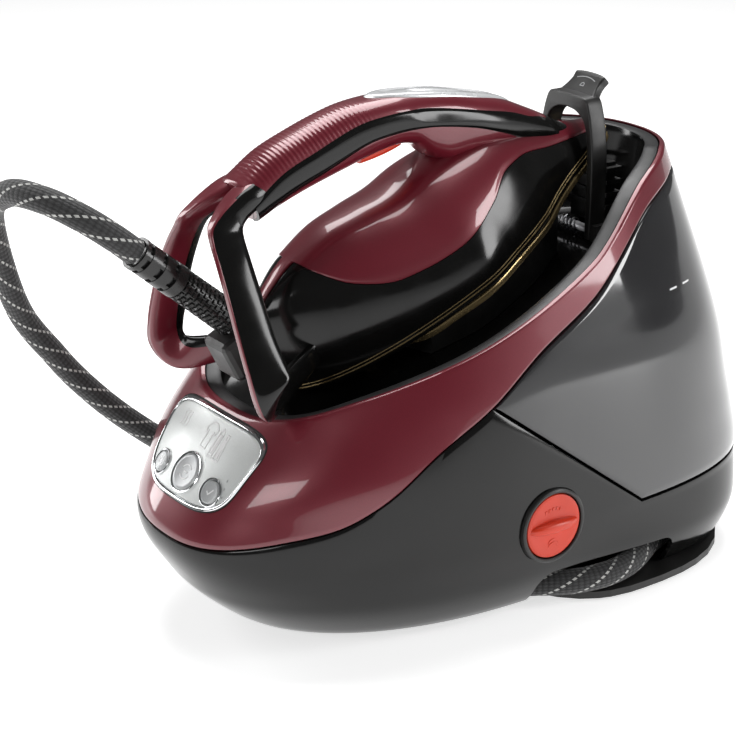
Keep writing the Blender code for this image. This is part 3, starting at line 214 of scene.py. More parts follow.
def seam_height(angle, line):
    low, high = 0.0, 0.32
    for _ in range(26):
        z = (low + high) / 2
        if z < line(body_point(angle, z).y):
            low = z
        else:
            high = z
    return z


def angle_at(y, z):
    low, high = -math.pi / 2, math.pi / 2
    for _ in range(30):
        angle = (low + high) / 2
        if body_point(angle, z).y < y:
            low = angle
        else:
            high = angle
    return angle


def shell_angles(columns):
    """Angles round the body, evenly spaced along its side, with a column on each seam corner."""
    dense = [-math.pi / 2 + 2 * math.pi * i / 2400 for i in range(2401)]
    reach = [0.0]
    for a, b in zip(dense, dense[1:]):
        reach.append(reach[-1] + (body_point(b, 0.13) - body_point(a, 0.13)).length)
    angles = []
    i = 0
    for n in range(columns):
        target = reach[-1] * n / columns
        while reach[i + 1] < target:
            i += 1
        angles.append(dense[i] + (dense[i + 1] - dense[i]) * (target - reach[i]) / (reach[i + 1] - reach[i]))
    for corner in (angle_at(SEAM_CORNER_Y, band_line(SEAM_CORNER_Y)), angle_at(*SEAM_FOOT)):
        for target in (corner, math.pi - corner):
            nearest = min(range(columns), key=lambda n: abs(angles[n] - target))
            angles[nearest] = target
    return angles


ANGLES = shell_angles(248)


# ------------------------------------------------------------------ materials
class Finish:
    """A Principled material with a tree of pattern nodes in object space."""

    def __init__(self, name, colour, roughness, metallic=0.0, **sockets):
        self.material = bpy.data.materials.new(name)
        self.material.use_nodes = True
        self.tree = self.material.node_tree
        self.shader = self.tree.nodes["Principled BSDF"]
        self.shader.inputs["Base Color"].default_value = (*colour, 1.0)
        self.shader.inputs["Roughness"].default_value = roughness
        self.shader.inputs["Metallic"].default_value = metallic
        for socket, value in sockets.items():
            self.shader.inputs[socket.replace("_", " ")].default_value = value
        self.colour = colour
        self.material.diffuse_color = (*colour, 1.0)
        self.height = None
        self.coordinates = self.node("ShaderNodeTexCoord").outputs["Object"]

    def node(self, kind, **values):
        made = self.tree.nodes.new(kind)
        for key, value in values.items():
            setattr(made, key, value)
        return made

    def link(self, output, socket):
        self.tree.links.new(output, socket)

    def noise(self, scale, detail=2.0, distortion=0.0, stretch=None):
        made = self.node("ShaderNodeTexNoise")
        made.inputs["Scale"].default_value = scale
        made.inputs["Detail"].default_value = detail
        made.inputs["Distortion"].default_value = distortion
        if stretch is None:
            self.link(self.coordinates, made.inputs["Vector"])
        else:
            mapping = self.node("ShaderNodeMapping")
            mapping.inputs["Scale"].default_value = stretch
            self.link(self.coordinates, mapping.inputs["Vector"])
            self.link(mapping.outputs["Vector"], made.inputs["Vector"])
        return made.outputs["Fac"]

    def cells(self, scale, feature="F1"):
        made = self.node("ShaderNodeTexVoronoi", feature=feature)
        made.inputs["Scale"].default_value = scale
        self.link(self.coordinates, made.inputs["Vector"])
        return made.outputs["Distance"]

    def ranged(self, value, low, high, start=0.3, end=0.7):
        made = self.node("ShaderNodeMapRange")
        made.inputs["From Min"].default_value = start
        made.inputs["From Max"].default_value = end
        made.inputs["To Min"].default_value = low
        made.inputs["To Max"].default_value = high
        self.link(value, made.inputs["Value"])
        return made.outputs["Result"]

    def maths(self, operation, a, b=None):
        made = self.node("ShaderNodeMath", operation=operation)
        for socket, value in zip(made.inputs, (a, b)):
            if value is None:
                continue
            if isinstance(value, (int, float)):
                socket.default_value = value
            else:
                self.link(value, socket)
        return made.outputs["Value"]

    def mixed(self, factor, a, b):
        """Colour a where the factor is 0 and b where it is 1."""
        made = self.node("ShaderNodeMix", data_type="RGBA")
        self.link(factor, made.inputs["Factor"])
        for socket, value in ((made.inputs[6], a), (made.inputs[7], b)):
            if isinstance(value, tuple):
                socket.default_value = (*value, 1.0)
            else:
                self.link(value, socket)
        return made.outputs[2]

    def tone(self, pattern, darker, lighter):
        """Varies the base colour between two multiples of itself."""
        dark = tuple(c * darker for c in self.colour)
        light = tuple(c * lighter for c in self.colour)
        out = self.mixed(self.ranged(pattern, 0.0, 1.0), dark, light)
        self.link(out, self.shader.inputs["Base Color"])
        return self

    def gloss(self, pattern, low, high):
        self.link(self.ranged(pattern, low, high), self.shader.inputs["Roughness"])
        return self

    def bump(self, pattern, strength, distance):
        made = self.node("ShaderNodeBump")
        made.inputs["Strength"].default_value = strength
        made.inputs["Distance"].default_value = distance
        self.link(pattern, made.inputs["Height"])
        if self.height is not None:
            self.link(self.height, made.inputs["Normal"])
        self.height = made.outputs["Normal"]
        self.link(self.height, self.shader.inputs["Normal"])
        return self


def burgundy_paint():
    """Pearl burgundy under a clear coat."""
    made = Finish("burgundy_pearl", (0.150, 0.0095, 0.0200), 0.34, 0.25, Coat_Weight=0.85,
                  Coat_Roughness=0.05)
    made.tone(made.noise(2600, 1.0), 0.86, 1.18)
    made.gloss(made.noise(22, 3.0), 0.30, 0.38)
    return made.bump(made.noise(320, 2.0), 0.02, 0.0004).material


def glossy_black():
    made = Finish("gloss_black_plastic", (0.0045, 0.0044, 0.0042), 0.13, 0.0, Specular_IOR_Level=0.38)
    made.tone(made.noise(30, 3.0), 0.85, 1.2)
    made.gloss(made.noise(60, 3.0), 0.10, 0.17)
    return made.bump(made.noise(260, 2.0), 0.015, 0.0004).material


def satin_black(name="satin_black_plastic", level=0.017, rough=0.40):
    """Spark-eroded texture on black plastic."""
    made = Finish(name, (level, level * 0.98, level * 0.96), rough)
    made.tone(made.noise(45, 3.0), 0.82, 1.22)
    made.gloss(made.noise(90, 3.0), rough - 0.05, rough + 0.07)
    return made.bump(made.noise(1500, 2.0), 0.16, 0.0002).material


def smoked_plastic():
    made = Finish("smoked_tank", (0.022, 0.022, 0.0235), 0.07, 0.0, Specular_IOR_Level=0.62, Coat_Weight=0.5,
                  Coat_Roughness=0.03)
    made.tone(made.noise(9, 2.0), 0.86, 1.16)
    made.gloss(made.noise(14, 3.0), 0.06, 0.10)
    return made.bump(made.noise(180, 2.0), 0.008, 0.0004).material


def rubber():
    made = Finish("rubber_black", (0.0130, 0.0130, 0.0128), 0.66)
    made.tone(made.noise(60, 4.0), 0.80, 1.3)
    made.gloss(made.noise(120, 3.0), 0.58, 0.74)
    return made.bump(made.noise(900, 3.0), 0.22, 0.0002).material


def silver_paint():
    made = Finish("panel_silver", (0.66, 0.68, 0.67), 0.36, 0.30)
    made.tone(made.noise(2200, 1.0), 0.95, 1.05)
    made.gloss(made.noise(40, 3.0), 0.32, 0.42)
    return made.bump(made.noise(1200, 2.0), 0.04, 0.0002).material


def button_plastic():
    made = Finish("button_grey", (0.42, 0.43, 0.435), 0.30, 0.25)
    made.tone(made.noise(1800, 1.0), 0.94, 1.06)
    made.gloss(made.noise(50, 3.0), 0.26, 0.36)
    return made.bump(made.noise(900, 2.0), 0.03, 0.0002).material


def chrome_plate():
    made = Finish("chrome", (0.78, 0.79, 0.80), 0.10, 1.0)
    made.gloss(made.noise(70, 3.0), 0.07, 0.14)
    return made.bump(made.noise(40, 1.0), 0.01, 0.0003).material


def bright_silver():
    """Silver paint under a hard coat."""
    made = Finish("insert_silver", (0.74, 0.75, 0.76), 0.24, 0.25, Coat_Weight=0.8, Coat_Roughness=0.06)
    made.tone(made.noise(2400, 1.0), 0.95, 1.04)
    made.gloss(made.noise(60, 3.0), 0.20, 0.30)
    return made.bump(made.noise(500, 2.0), 0.02, 0.0003).material


def orange_plastic():
    made = Finish("orange_red", (0.60, 0.034, 0.0085), 0.34, 0.0, Subsurface_Weight=0.04)
    made.tone(made.noise(26, 3.0), 0.90, 1.10)
    made.gloss(made.noise(80, 3.0), 0.29, 0.40)
    return made.bump(made.noise(1100, 2.0), 0.07, 0.0002).material


def gold_ceramic():
    made = Finish("gold_ceramic", (0.55, 0.41, 0.20), 0.24, 0.85)
    made.tone(made.noise(2400, 1.0), 0.82, 1.12)
    made.gloss(made.noise(50, 3.0), 0.20, 0.32)
    return made.bump(made.noise(700, 2.0), 0.03, 0.0002).material


def metal(name, colour, roughness, stretch):
    """Drawn or machined metal, its fine scratches running one way."""
    made = Finish(name, colour, roughness, 1.0)
    lines = made.noise(420, 2.0, stretch=stretch)
    made.tone(lines, 0.85, 1.08)
    made.gloss(lines, roughness - 0.08, roughness + 0.10)
    return made.bump(lines, 0.10, 0.0002).material


def cast_alloy():
    made = Finish("cast_alloy", (0.52, 0.52, 0.54), 0.46, 1.0)
    grain = made.noise(260, 4.0)
    made.tone(grain, 0.80, 1.05)
    made.gloss(grain, 0.40, 0.58)
    return made.bump(grain, 0.30, 0.0004).material


def board_lacquer():
    made = Finish("board_green", (0.015, 0.13, 0.050), 0.35)
    made.tone(made.cells(420), 0.7, 1.25)
    made.gloss(made.noise(80, 3.0), 0.28, 0.45)
    return made.bump(made.cells(600), 0.15, 0.0003).material


def silicone():
    made = Finish("silicone_grey", (0.16, 0.16, 0.17), 0.55)
    made.tone(made.noise(70, 3.0), 0.88, 1.12)
    made.gloss(made.noise(110, 3.0), 0.48, 0.64)
    return made.bump(made.noise(800, 2.0), 0.12, 0.0002).material


def dark_grey_deck():
    """The matt rim of the deck."""
    made = Finish("deck_rim_grey", (0.014, 0.014, 0.0145), 0.42)
    made.tone(made.noise(40, 3.0), 0.86, 1.15)
    made.gloss(made.noise(90, 3.0), 0.38, 0.48)
    return made.bump(made.noise(1400, 2.0), 0.10, 0.0002).material


def white_print():
    made = Finish("print_grey_white", (0.80, 0.80, 0.80), 0.50)
    made.tone(made.noise(1500, 2.0), 0.94, 1.04)
    return made.gloss(made.noise(90, 2.0), 0.44, 0.56).material


def braid():
    """Black woven sleeving with pale flecks, laid out by the tube's UVs: u round it, v along it in turns."""
    made = Finish("hose_braid", (0.0155, 0.0155, 0.0160), 0.72, 0.0, Sheen_Weight=0.25, Sheen_Roughness=0.5)
    place = made.node("ShaderNodeSeparateXYZ")
    made.link(made.node("ShaderNodeUVMap", uv_map="UVMap").outputs["UV"], place.inputs["Vector"])
    u, v = place.outputs["X"], place.outputs["Y"]
    strands = 12
    pitch = 7.0
    across = made.maths("MULTIPLY", u, strands)
    forward = made.maths("MULTIPLY", v, pitch)
    one = made.maths("ADD", across, forward)
    other = made.maths("SUBTRACT", across, forward)

    def wave(value, turns=1.0):
        angle = made.maths("MULTIPLY", value, 2 * math.pi * turns)
        return made.ranged(made.maths("SINE", angle), 0.0, 1.0, -1.0, 1.0)

    ribs = made.maths("MAXIMUM", made.maths("MULTIPLY", wave(one), wave(other)),
                      made.maths("MULTIPLY", made.maths("SUBTRACT", 1.0, wave(one)),
                                 made.maths("SUBTRACT", 1.0, wave(other))))
    threads = made.maths("MULTIPLY", made.maths("ADD", wave(one, 3.0), wave(other, 3.0)), 0.12)
    weave = made.maths("ADD", ribs, threads)
    # a fleck where every third strand of one way passes over
    third = made.maths("FRACT", made.maths("DIVIDE", made.maths("FLOOR", one), 3.0))
    chosen = made.maths("LESS_THAN", third, 0.2)
    across_it = made.maths("ABSOLUTE", made.maths("SUBTRACT", made.maths("FRACT", one), 0.5))
    along_it = made.maths("ABSOLUTE", made.maths("SUBTRACT", made.maths("FRACT", other), 0.5))
    narrow = made.maths("LESS_THAN", across_it, 0.20)
    short = made.maths("LESS_THAN", along_it, 0.30)
    fleck = made.maths("MULTIPLY", made.maths("MULTIPLY", chosen, narrow), short)
    raised = made.ranged(weave, 0.0, 1.0, 0.1, 0.9)
    # painted shade: the base colour is darker down in the weave's hollows and lighter on the raised strands,
    # following the same height that drives the bump
    weave_painted_shade = made.mixed(raised, (0.0060, 0.0060, 0.0062), (0.030, 0.030, 0.031))
    made.link(made.mixed(fleck, weave_painted_shade, (0.50, 0.50, 0.48)), made.shader.inputs["Base Color"])
    made.gloss(made.noise(400, 2.0), 0.64, 0.82)
    return made.bump(weave, 0.65, 0.0006).material


BURGUNDY = burgundy_paint()
GLOSS = glossy_black()
SATIN = satin_black()
SMOKED = smoked_plastic()
RUBBER = rubber()
GUARD = satin_black("hose_guard_black", 0.011, 0.22)
SILVER = silver_paint()
BUTTON = button_plastic()
CHROME = chrome_plate()
BRIGHT = bright_silver()
ORANGE = orange_plastic()
GOLD = gold_ceramic()
STEEL = metal("drawn_steel", (0.52, 0.52, 0.54), 0.30, (0.05, 1.0, 1.0))
BRASS = metal("turned_brass", (0.58, 0.40, 0.15), 0.28, (0.05, 1.0, 1.0))
ALLOY = cast_alloy()
BOARD = board_lacquer()
SILICONE = silicone()
RIM = dark_grey_deck()
PRINT = white_print()
BRAID = braid()

NODE_FINISH = {
    "base_tray": SATIN, "foot_front_left": RUBBER, "foot_front_right": RUBBER, "foot_rear_left": RUBBER,
    "foot_rear_right": RUBBER, "inner_chassis": SATIN, "lower_housing": GLOSS, "tank_shelf": SATIN,
    "front_shell": BURGUNDY, "control_panel": SILVER, "panel_bezel": CHROME, "power_button": BUTTON,
    "mode_button": BUTTON, "ok_button": BUTTON, "control_board": BOARD, "deck": GLOSS, "iron_rest": SATIN,
    "rest_pad_front": SILICONE, "rest_pad_left": SILICONE, "rest_pad_right": SILICONE, "lever_catch": SATIN,
    "lever_bracket_left": SATIN, "lever_bracket_right": SATIN, "lever_pin": STEEL, "lever_spring": STEEL,
    "lock_lever": SATIN, "collector_ring": SATIN, "collector_cap": ORANGE, "collector_rod": BRASS,
    "collector_seal": RUBBER, "boiler": STEEL, "boiler_heater": ALLOY, "pump": SATIN, "steam_valve": BRASS,
    "feed_tube": SILICONE, "steam_tube": SILICONE, "mains_inlet": RUBBER, "hose_outlet": RUBBER,
    "water_tank": SMOKED, "tank_lid": SATIN, "filler_flap": SATIN, "tank_grip": SATIN, "tank_valve": SATIN,
    "soleplate": GOLD, "steam_chamber": ALLOY, "skirt": GLOSS, "bonnet": BURGUNDY, "handle": BURGUNDY,
    "handle_band_left": GLOSS, "handle_band_right": GLOSS, "grip_insert": CHROME, "trigger": ORANGE,
    "trigger_pin": STEEL, "heel_leg_left": BURGUNDY, "heel_leg_right": BURGUNDY, "swivel_block": SATIN,
    "hose_sleeve": RUBBER,
}
for node, finish in NODE_FINISH.items():
    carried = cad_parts[node]
    carried.data.materials.clear()
    carried.data.materials.append(finish)


# ------------------------------------------------------------------ helpers
def finished(name, bm, finishes, body, stands_for=(), sharp=32, matrix=None):
    """A smooth-shaded piece from a bmesh, riding on a body in place of CAD nodes."""
    bmesh.ops.remove_doubles(bm, verts=bm.verts, dist=2e-6)
    bmesh.ops.dissolve_degenerate(bm, dist=1e-6, edges=bm.edges)
    bmesh.ops.recalc_face_normals(bm, faces=bm.faces)
    mesh = bpy.data.meshes.new(name)
    bm.to_mesh(mesh)
    bm.free()
    if matrix is not None:
        mesh.transform(matrix)
    for finish in finishes:
        mesh.materials.append(finish)
    mesh.shade_smooth()
    mesh.set_sharp_from_angle(angle=math.radians(sharp))
    made = bpy.data.objects.new(name, mesh)
    scene.collection.objects.link(made)
    if body:
        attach(made, body)
    if stands_for:
        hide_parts(*stands_for)
    return made


def grid(bm, rows, closed=True, material=0):
    """Bridges rows of points with faces and returns their vertices."""
    loops = [[bm.verts.new(p) for p in row] for row in rows]
    for lower, upper in zip(loops, loops[1:]):
        count = len(lower)
        for i in range(count if closed else count - 1):
            j = (i + 1) % count
            bm.faces.new((lower[i], lower[j], upper[j], upper[i])).material_index = material
    return loops


def spline_points(route, count):
    """Points read evenly from a smooth curve through the route's own points."""
    ends = [2 * Vector(route[0]) - Vector(route[1]), 2 * Vector(route[-1]) - Vector(route[-2])]
    knots = [ends[0], *map(Vector, route), ends[1]]
    dense = []
    for a, b, c, d in zip(knots, knots[1:], knots[2:], knots[3:]):
        for n in range(24):
            t = n / 24
            dense.append(
                0.5 * (2 * b + (c - a) * t + (2 * a - 5 * b + 4 * c - d) * t**2
                       + (3 * b - a - 3 * c + d) * t**3)
            )
    dense.append(knots[-2])
    reach = [0.0]
    for a, b in zip(dense, dense[1:]):
        reach.append(reach[-1] + (b - a).length)
    found = []
    i = 0
    for n in range(count):
        target = reach[-1] * n / (count - 1)
        while i < len(dense) - 2 and reach[i + 1] < target:
            i += 1
        found.append(dense[i].lerp(dense[i + 1], min(1.0, (target - reach[i]) / (reach[i + 1] - reach[i]))))
    return found, reach[-1]


def carve(made, cutters, operation="DIFFERENCE", sharp=32):
    """Applies Booleans to a piece, removes the cutters and shades the result again."""
    for cutter in cutters:
        cut = made.modifiers.new("cut", "BOOLEAN")
        cut.operation = operation
        cut.solver = "EXACT"
        cut.object = cutter
    bpy.context.view_layer.update()
    graph = bpy.context.evaluated_depsgraph_get()
    mesh = bpy.data.meshes.new_from_object(made.evaluated_get(graph))
    made.modifiers.clear()
    made.data = mesh
    for cutter in cutters:
        bpy.data.objects.remove(cutter, do_unlink=True)
    mesh.shade_smooth()
    mesh.set_sharp_from_angle(angle=math.radians(sharp))
    return made


def rounded(made, width, segments=3, angle=30):
    """Rounds a piece's edges in its mesh."""
    bevel = made.modifiers.new("rounded", "BEVEL")
    bevel.width = width
    bevel.segments = segments
    bevel.limit_method = "ANGLE"
    bevel.angle_limit = math.radians(angle)
    return carve(made, ())


def squared(angle, power):
    """A point of the unit superellipse."""
    c, w = math.cos(angle), math.sin(angle)
    k = (abs(c) ** power + abs(w) ** power) ** (-1 / power)
    return k * c, k * w


def along(direction):
    return Vector((0, 0, 1)).rotation_difference(Vector(direction)).to_matrix().to_4x4()


def turned(name, profile, place, direction, finishes, body, stands_for=(), steps=96, sharp=32, kinds=None):
    """A piece swept from a closed (radius, height) profile round an axis. kinds gives each edge's finish."""
    bm = bmesh.new()
    rows = []
    turns = [2 * math.pi * n / steps for n in range(steps)]
    for r, z in profile:
        rows.append([bm.verts.new((r * math.cos(turn), r * math.sin(turn), z)) for turn in turns])
    count = len(rows)
    for i in range(count):
        a, b = rows[i], rows[(i + 1) % count]
        if profile[i][0] == 0 and profile[(i + 1) % count][0] == 0:
            continue
        for n in range(steps):
            m = (n + 1) % steps
            bm.faces.new((a[n], a[m], b[m], b[n])).material_index = kinds[i] if kinds else 0
    matrix = Matrix.Translation(place) @ along(direction)
    return finished(name, bm, finishes, body, stands_for, sharp, matrix)


def shell_band(name, low_of, high_of, rows, finishes, body, stands_for=(), angles=ANGLES, closed=True,
               edge=0.0008, wall=SHELL_WALL):
    """A band of the generator's wall between two seam lines, with rounded seam edges."""
    lows = [low_of(a) for a in angles]
    highs = [high_of(a) for a in angles]
    plan = [(0, 0, wall), (0, 0, 1.0), (0, 0.3, 0.3), (0, 1.0, 0)]
    plan += [(i / rows, 0, 0) for i in range(1, rows)]
    plan += [(1, -1.0, 0), (1, -0.3, 0.3), (1, 0, 1.0), (1, 0, wall)]
    plan += [(1 - i / 6, 0, wall) for i in range(1, 6)]
    points = []
    for share, lift, inset in plan:
        row = []
        for a, low, high in zip(angles, lows, highs):
            round_off = min(edge, (high - low) / 3)
            depth = wall if inset == wall else inset * round_off
            if not 0 < share < 1 or depth == wall:
                z = low + share * (high - low) + lift * round_off
            else:
                z = low + round_off + share * (high - low - 2 * round_off)
            row.append(body_point(a, z, depth))
        points.append(row)
    bm = bmesh.new()
    grid(bm, points + [points[0]], closed)
    return finished(name, bm, finishes, body, stands_for)


def rod_cutter(name, radius, start, direction, length, steps=72):
    profile = ((0.0, 0.0), (radius, 0.0), (radius, length), (0.0, length))
    return turned(name, profile, start, direction, [SATIN], None, (), steps)


# ------------------------------------------------------------------ generator shells
def make_housing():
    housing = shell_band("housing_shell", lambda a: TRAY_TOP + GAP,
                         lambda a: seam_height(a, housing_line) - GAP, 26,
                         [GLOSS], "generator", ["lower_housing"], edge=0.0010)
    bm = bmesh.new()
    size = (0.4, WINDOW_Y[1] - WINDOW_Y[0], 2 * WINDOW_TOP)
    bmesh.ops.create_cube(bm, size=1.0, matrix=Matrix.Diagonal((*size, 1.0)))
    windows = finished("windows", bm, [SATIN], None, (), matrix=Matrix.Translation((0, sum(WINDOW_Y) / 2, 0)))
    rounded(windows, 0.012, 8)
    bore = rod_cutter("bore", COLLECTOR_RADIUS + 0.0035, (0.09, COLLECTOR_Y, COLLECTOR_Z), (1, 0, 0), 0.06)
    carve(housing, [windows, bore])


def make_front_shell():
    shell = shell_band("burgundy_shell", lambda a: seam_height(a, band_line) + GAP,
                       lambda a: seam_height(a, rim_line),
                       30, [BURGUNDY], "generator", ["front_shell"], edge=0.0013)
    carve(shell, [panel_slab("opening", 0.0034, -0.004, 0.012, [SATIN], None)])


def make_tank():
    first = angle_at(SEAM_CORNER_Y, band_line(SEAM_CORNER_Y))
    angles = sorted(a if a < 1.5 * math.pi else a - 2 * math.pi for a in ANGLES)
    angles = [a for a in angles if first <= a + 1e-9 and a - 1e-9 <= math.pi - first]
    seam = 0.0016

    def low(a):
        return min(seam_height(a, housing_line) + seam, high(a))

    def high(a):
        return seam_height(a, band_line) - seam

    tank = shell_band("tank_shell", low, high, 40, [SMOKED], "tank", ["water_tank"], angles, False, 0.0012)

    sides = [math.radians(90 + 22 * (i / 24 - 1)) for i in range(49)]
    rows = []
    for n in range(61):
        z = 0.0925 + 0.165 * n / 60
        end = min(1.0, 6 * n / 60, 6 * (60 - n) / 60)
        outer = []
        for i, a in enumerate(sides):
            side = min(1.0, (0.5 - abs(i / 48 - 0.5)) * 16)
            rounding = math.sqrt(max(0.0, 1 - (1 - side) ** 2)) * math.sqrt(max(0.0, 1 - (1 - end) ** 2))
            lift = 0.0006 + 0.0026 * rounding
            dish = max(0.0, 1 - ((i / 48 - 0.5) / 0.22) ** 2) * max(0.0, 1 - ((n / 60 - 0.62) / 0.20) ** 2)
            hollow = 0.0022 * dish
            outer.append(body_point(a, z, -(lift - hollow)))
        inner = [body_point(a, z, -0.0003) for a in reversed(sides)]
        rows.append(outer + inner)
    bm = bmesh.new()
    loops = grid(bm, rows)
    for loop in (loops[0], loops[-1]):
        for i in range(len(sides) - 1):
            j = len(loop) - 1 - i
            bm.faces.new((loop[i], loop[i + 1], loop[j - 1], loop[j]))
    spine = finished("tank_spine", bm, [SATIN], "tank", ["tank_grip"])

    # level ticks, printed on both sides of the tank
    for side, sign in (("right", 1), ("left", -1)):
        strokes = []
        for y, z, length in ((0.112, 0.205, 0.008), (0.128, 0.205, 0.008)):
            strokes.append(([(y, z), (y + length, z)], 0.0012))
        surface = side_surface(sign)
        marks(f"level_ticks_{side}", strokes, surface, PRINT, "tank")


def side_surface(sign):
    """The generator's side as a surface of Y, Z and a depth."""
    def point(y, z, depth):
        angle = angle_at(y, z)
        p = body_point(angle, z, depth)
        return Vector((sign * p.x, p.y, p.z))
    return point


def panel_surface(x, z, depth):
    return front_point(x, z, depth)


def marks(name, strokes, surface, finish, body, top=-0.00012, foot=0.0003):
    """Printed strokes lying on a surface: each is a polyline and a width, cut into short thin bars."""
    bm = bmesh.new()
    for points, width in strokes:
        dense = []
        for (x0, y0), (x1, y1) in zip(points, points[1:]):
            pieces = max(1, int(math.hypot(x1 - x0, y1 - y0) / 0.0012))
            dense += [(x0 + (x1 - x0) * i / pieces, y0 + (y1 - y0) * i / pieces) for i in range(pieces)]
        dense.append(points[-1])
        closed = math.hypot(points[0][0] - points[-1][0], points[0][1] - points[-1][1]) < 1e-9
        if closed:
            dense = dense[:-1]
        count = len(dense)
        rows = []
        for i, (x, y) in enumerate(dense):
            before = dense[i - 1] if closed or i else dense[i]
            after = dense[(i + 1) % count] if closed or i < count - 1 else dense[i]
            dx, dy = after[0] - before[0], after[1] - before[1]
            size = math.hypot(dx, dy) or 1.0
            nx, ny = -dy / size * width / 2, dx / size * width / 2
            rows.append([
                surface(x + nx, y + ny, top), surface(x - nx, y - ny, top),
                surface(x - nx, y - ny, foot), surface(x + nx, y + ny, foot),
            ])
        if closed:
            rows.append(rows[0])
        loops = grid(bm, rows)
        if not closed:
            bm.faces.new(loops[0])
            bm.faces.new(loops[-1])
    return finished(name, bm, [finish], body)


def arc(cx, cy, radius, start, end, steps=24):
    """Points on a circle, between two angles in degrees."""
    found = []
    for i in range(steps + 1):
        angle = math.radians(start + (end - start) * i / steps)
        found.append((cx + radius * math.cos(angle), cy + radius * math.sin(angle)))
    return found


# ------------------------------------------------------------------ control panel
def panel_outline(grow, share=1.0, steps=144):
    found = []
    for i in range(steps):
        angle = 2 * math.pi * i / steps
        c = math.cos(angle)
        s = math.sin(angle)
        k = share * (abs(c) ** PANEL_POWER + abs(s) ** PANEL_POWER) ** (-1 / PANEL_POWER)
        found.append((k * c * (PANEL_HALF_WIDTH + PANEL_TAPER * k * s + grow),
                      PANEL_CENTRE_Z + k * s * (PANEL_HALF_HEIGHT + grow)))
    return found


def panel_ring(grow, share, depth):
    return [front_point(x, z, depth) for x, z in panel_outline(grow, share)]


def panel_slab(name, grow, out, into, finishes, body, stands_for=()):
    shares = (0.02, 0.15, 0.3, 0.45, 0.6, 0.75, 0.88, 0.96, 0.99)
    rows = [panel_ring(grow, share, out) for share in shares]
    rows += [panel_ring(grow, 0.998, out + 0.0003), panel_ring(grow, 1.0, out + 0.0008)]
    rows.append(panel_ring(grow, 1.0, into))
    rows += [panel_ring(grow, share, into) for share in reversed(shares)]
    bm = bmesh.new()
    loops = grid(bm, rows)
    bm.faces.new(loops[0])
    bm.faces.new(loops[-1])
    return finished(name, bm, finishes, body, stands_for)


def make_panel():
    panel = panel_slab("silver_panel", 0.0, -0.0004, 0.0018, [SILVER], "generator", ["control_panel"])
    profile = ((0.0003, 0.0020), (0.0003, -0.0002), (0.0007, -0.0010), (0.0014, -0.0014), (0.0020, -0.0012),
               (0.0024, -0.0006), (0.0025, -0.0002), (0.0032, -0.0002), (0.0033, 0.0004), (0.0033, 0.0022))
    rows = [panel_ring(grow, 1.0, depth) for grow, depth in profile]
    bm = bmesh.new()
    grid(bm, rows + [rows[0]])
    bezel = finished("bright_bezel", bm, [CHROME, RUBBER], "generator", ["panel_bezel"], 50)
    count = len(rows[0])
    for face in bezel.data.polygons:
        if face.index // count in (6, 7, 8):
            face.material_index = 1

    holes = []
    for name, (x, z, radius) in BUTTONS.items():
        seat = front_point(x, z)
        normal = surface_normal(x, z)
        holes.append(rod_cutter(name + "_hole", radius + 0.0004, seat - normal * 0.01, normal, 0.02))
        crown = 0.0016
        dish = 0.0006 if radius > 0.01 else 0.0004
        profile = (
            (0.0, crown - dish), (radius * 0.35, crown - dish * 0.85), (radius * 0.6, crown - dish * 0.5),
            (radius * 0.78, crown - 0.0001), (radius * 0.86, crown), (radius * 0.93, crown - 0.0003),
            (radius * 0.98, crown - 0.0007), (radius, crown - 0.0013), (radius, -0.0040), (0.0, -0.0040),
        )
        cap = turned(name + "_cap", profile, seat, normal, [BUTTON], name, [name], 72)
        trim = (
            (radius + 0.0006, 0.0011), (radius + 0.0012, 0.0012), (radius + 0.0018, 0.0008),
            (radius + 0.0019, -0.0006), (radius + 0.0006, -0.0006),
        )
        turned(name + "_ring", trim, seat, normal, [CHROME], "generator", (), 72)
    carve(panel, holes)

    def on_button(name):
        x, z, _ = BUTTONS[name]
        seat = front_point(x, z)
        normal = surface_normal(x, z)
        side = normal.cross(Vector((0, 0, 1))).normalized() * -1
        up = side.cross(normal).normalized()
        if up.z <= 0:
            up = -up
        lift = 0.0016

        def point(u, v, depth):
            return seat + side * u + up * v + normal * (lift - depth - 0.00035)
        return point

    marks("power_symbol", [(arc(0, 0, 0.0030, 120, 420), 0.0008), ([(0, 0.0010), (0, 0.0040)], 0.0008)],
          on_button("power_button"), PRINT, "power_button")
    marks("mode_symbol", [(arc(0, 0, 0.0048, 35, 155), 0.0008), (arc(0, 0, 0.0048, 215, 335), 0.0008),
                          ([(-0.0018, 0), (0.0018, 0)], 0.0008)],
          on_button("mode_button"), PRINT, "mode_button")
    marks("ok_symbol", [([(-0.0026, 0.0002), (-0.0008, -0.0018), (0.0028, 0.0022)], 0.0009)],
          on_button("ok_button"), PRINT, "ok_button")

    garment = [
        ([(-0.002, 0.130), (0.004, 0.130), (0.004, 0.139), (0.006, 0.138), (0.007, 0.141), (0.003, 0.1435),
          (-0.001, 0.1435), (-0.005, 0.141), (-0.004, 0.138), (-0.002, 0.139), (-0.002, 0.130)], 0.0008),
        ([(0.0095, 0.128), (0.0135, 0.128), (0.0135, 0.1415), (0.0115, 0.1430), (0.0095, 0.1415),
          (0.0095, 0.128)], 0.0012),
        ([(0.0155, 0.1275), (0.0215, 0.1275), (0.0195, 0.1410), (0.0175, 0.1410), (0.0155, 0.1275)], 0.0012),
        ([(0.0115, 0.130), (0.0115, 0.140)], 0.0022),
        ([(0.0185, 0.129), (0.0185, 0.139)], 0.0026),
    ]
    steam = []
    for n in range(3):
        x = -0.0345 + 0.0035 * n
        steam.append(([(x + 0.0008 * math.sin(i * 0.9), 0.134 + 0.0011 * i) for i in range(8)], 0.0008))
    dots = []
    for i in range(4):
        x, z = 0.041 - 0.001 * i, 0.1075 + 0.0045 * i
        dots.append(([(x, z), (x + 0.0008, z)], 0.0012))
    marks("panel_icons", garment + steam, lambda x, z, d: panel_surface(x, z, d - 0.0005), PRINT, "generator")
    marks("panel_dots", dots, lambda x, z, d: panel_surface(x, z, d - 0.0005), BUTTON, "generator")


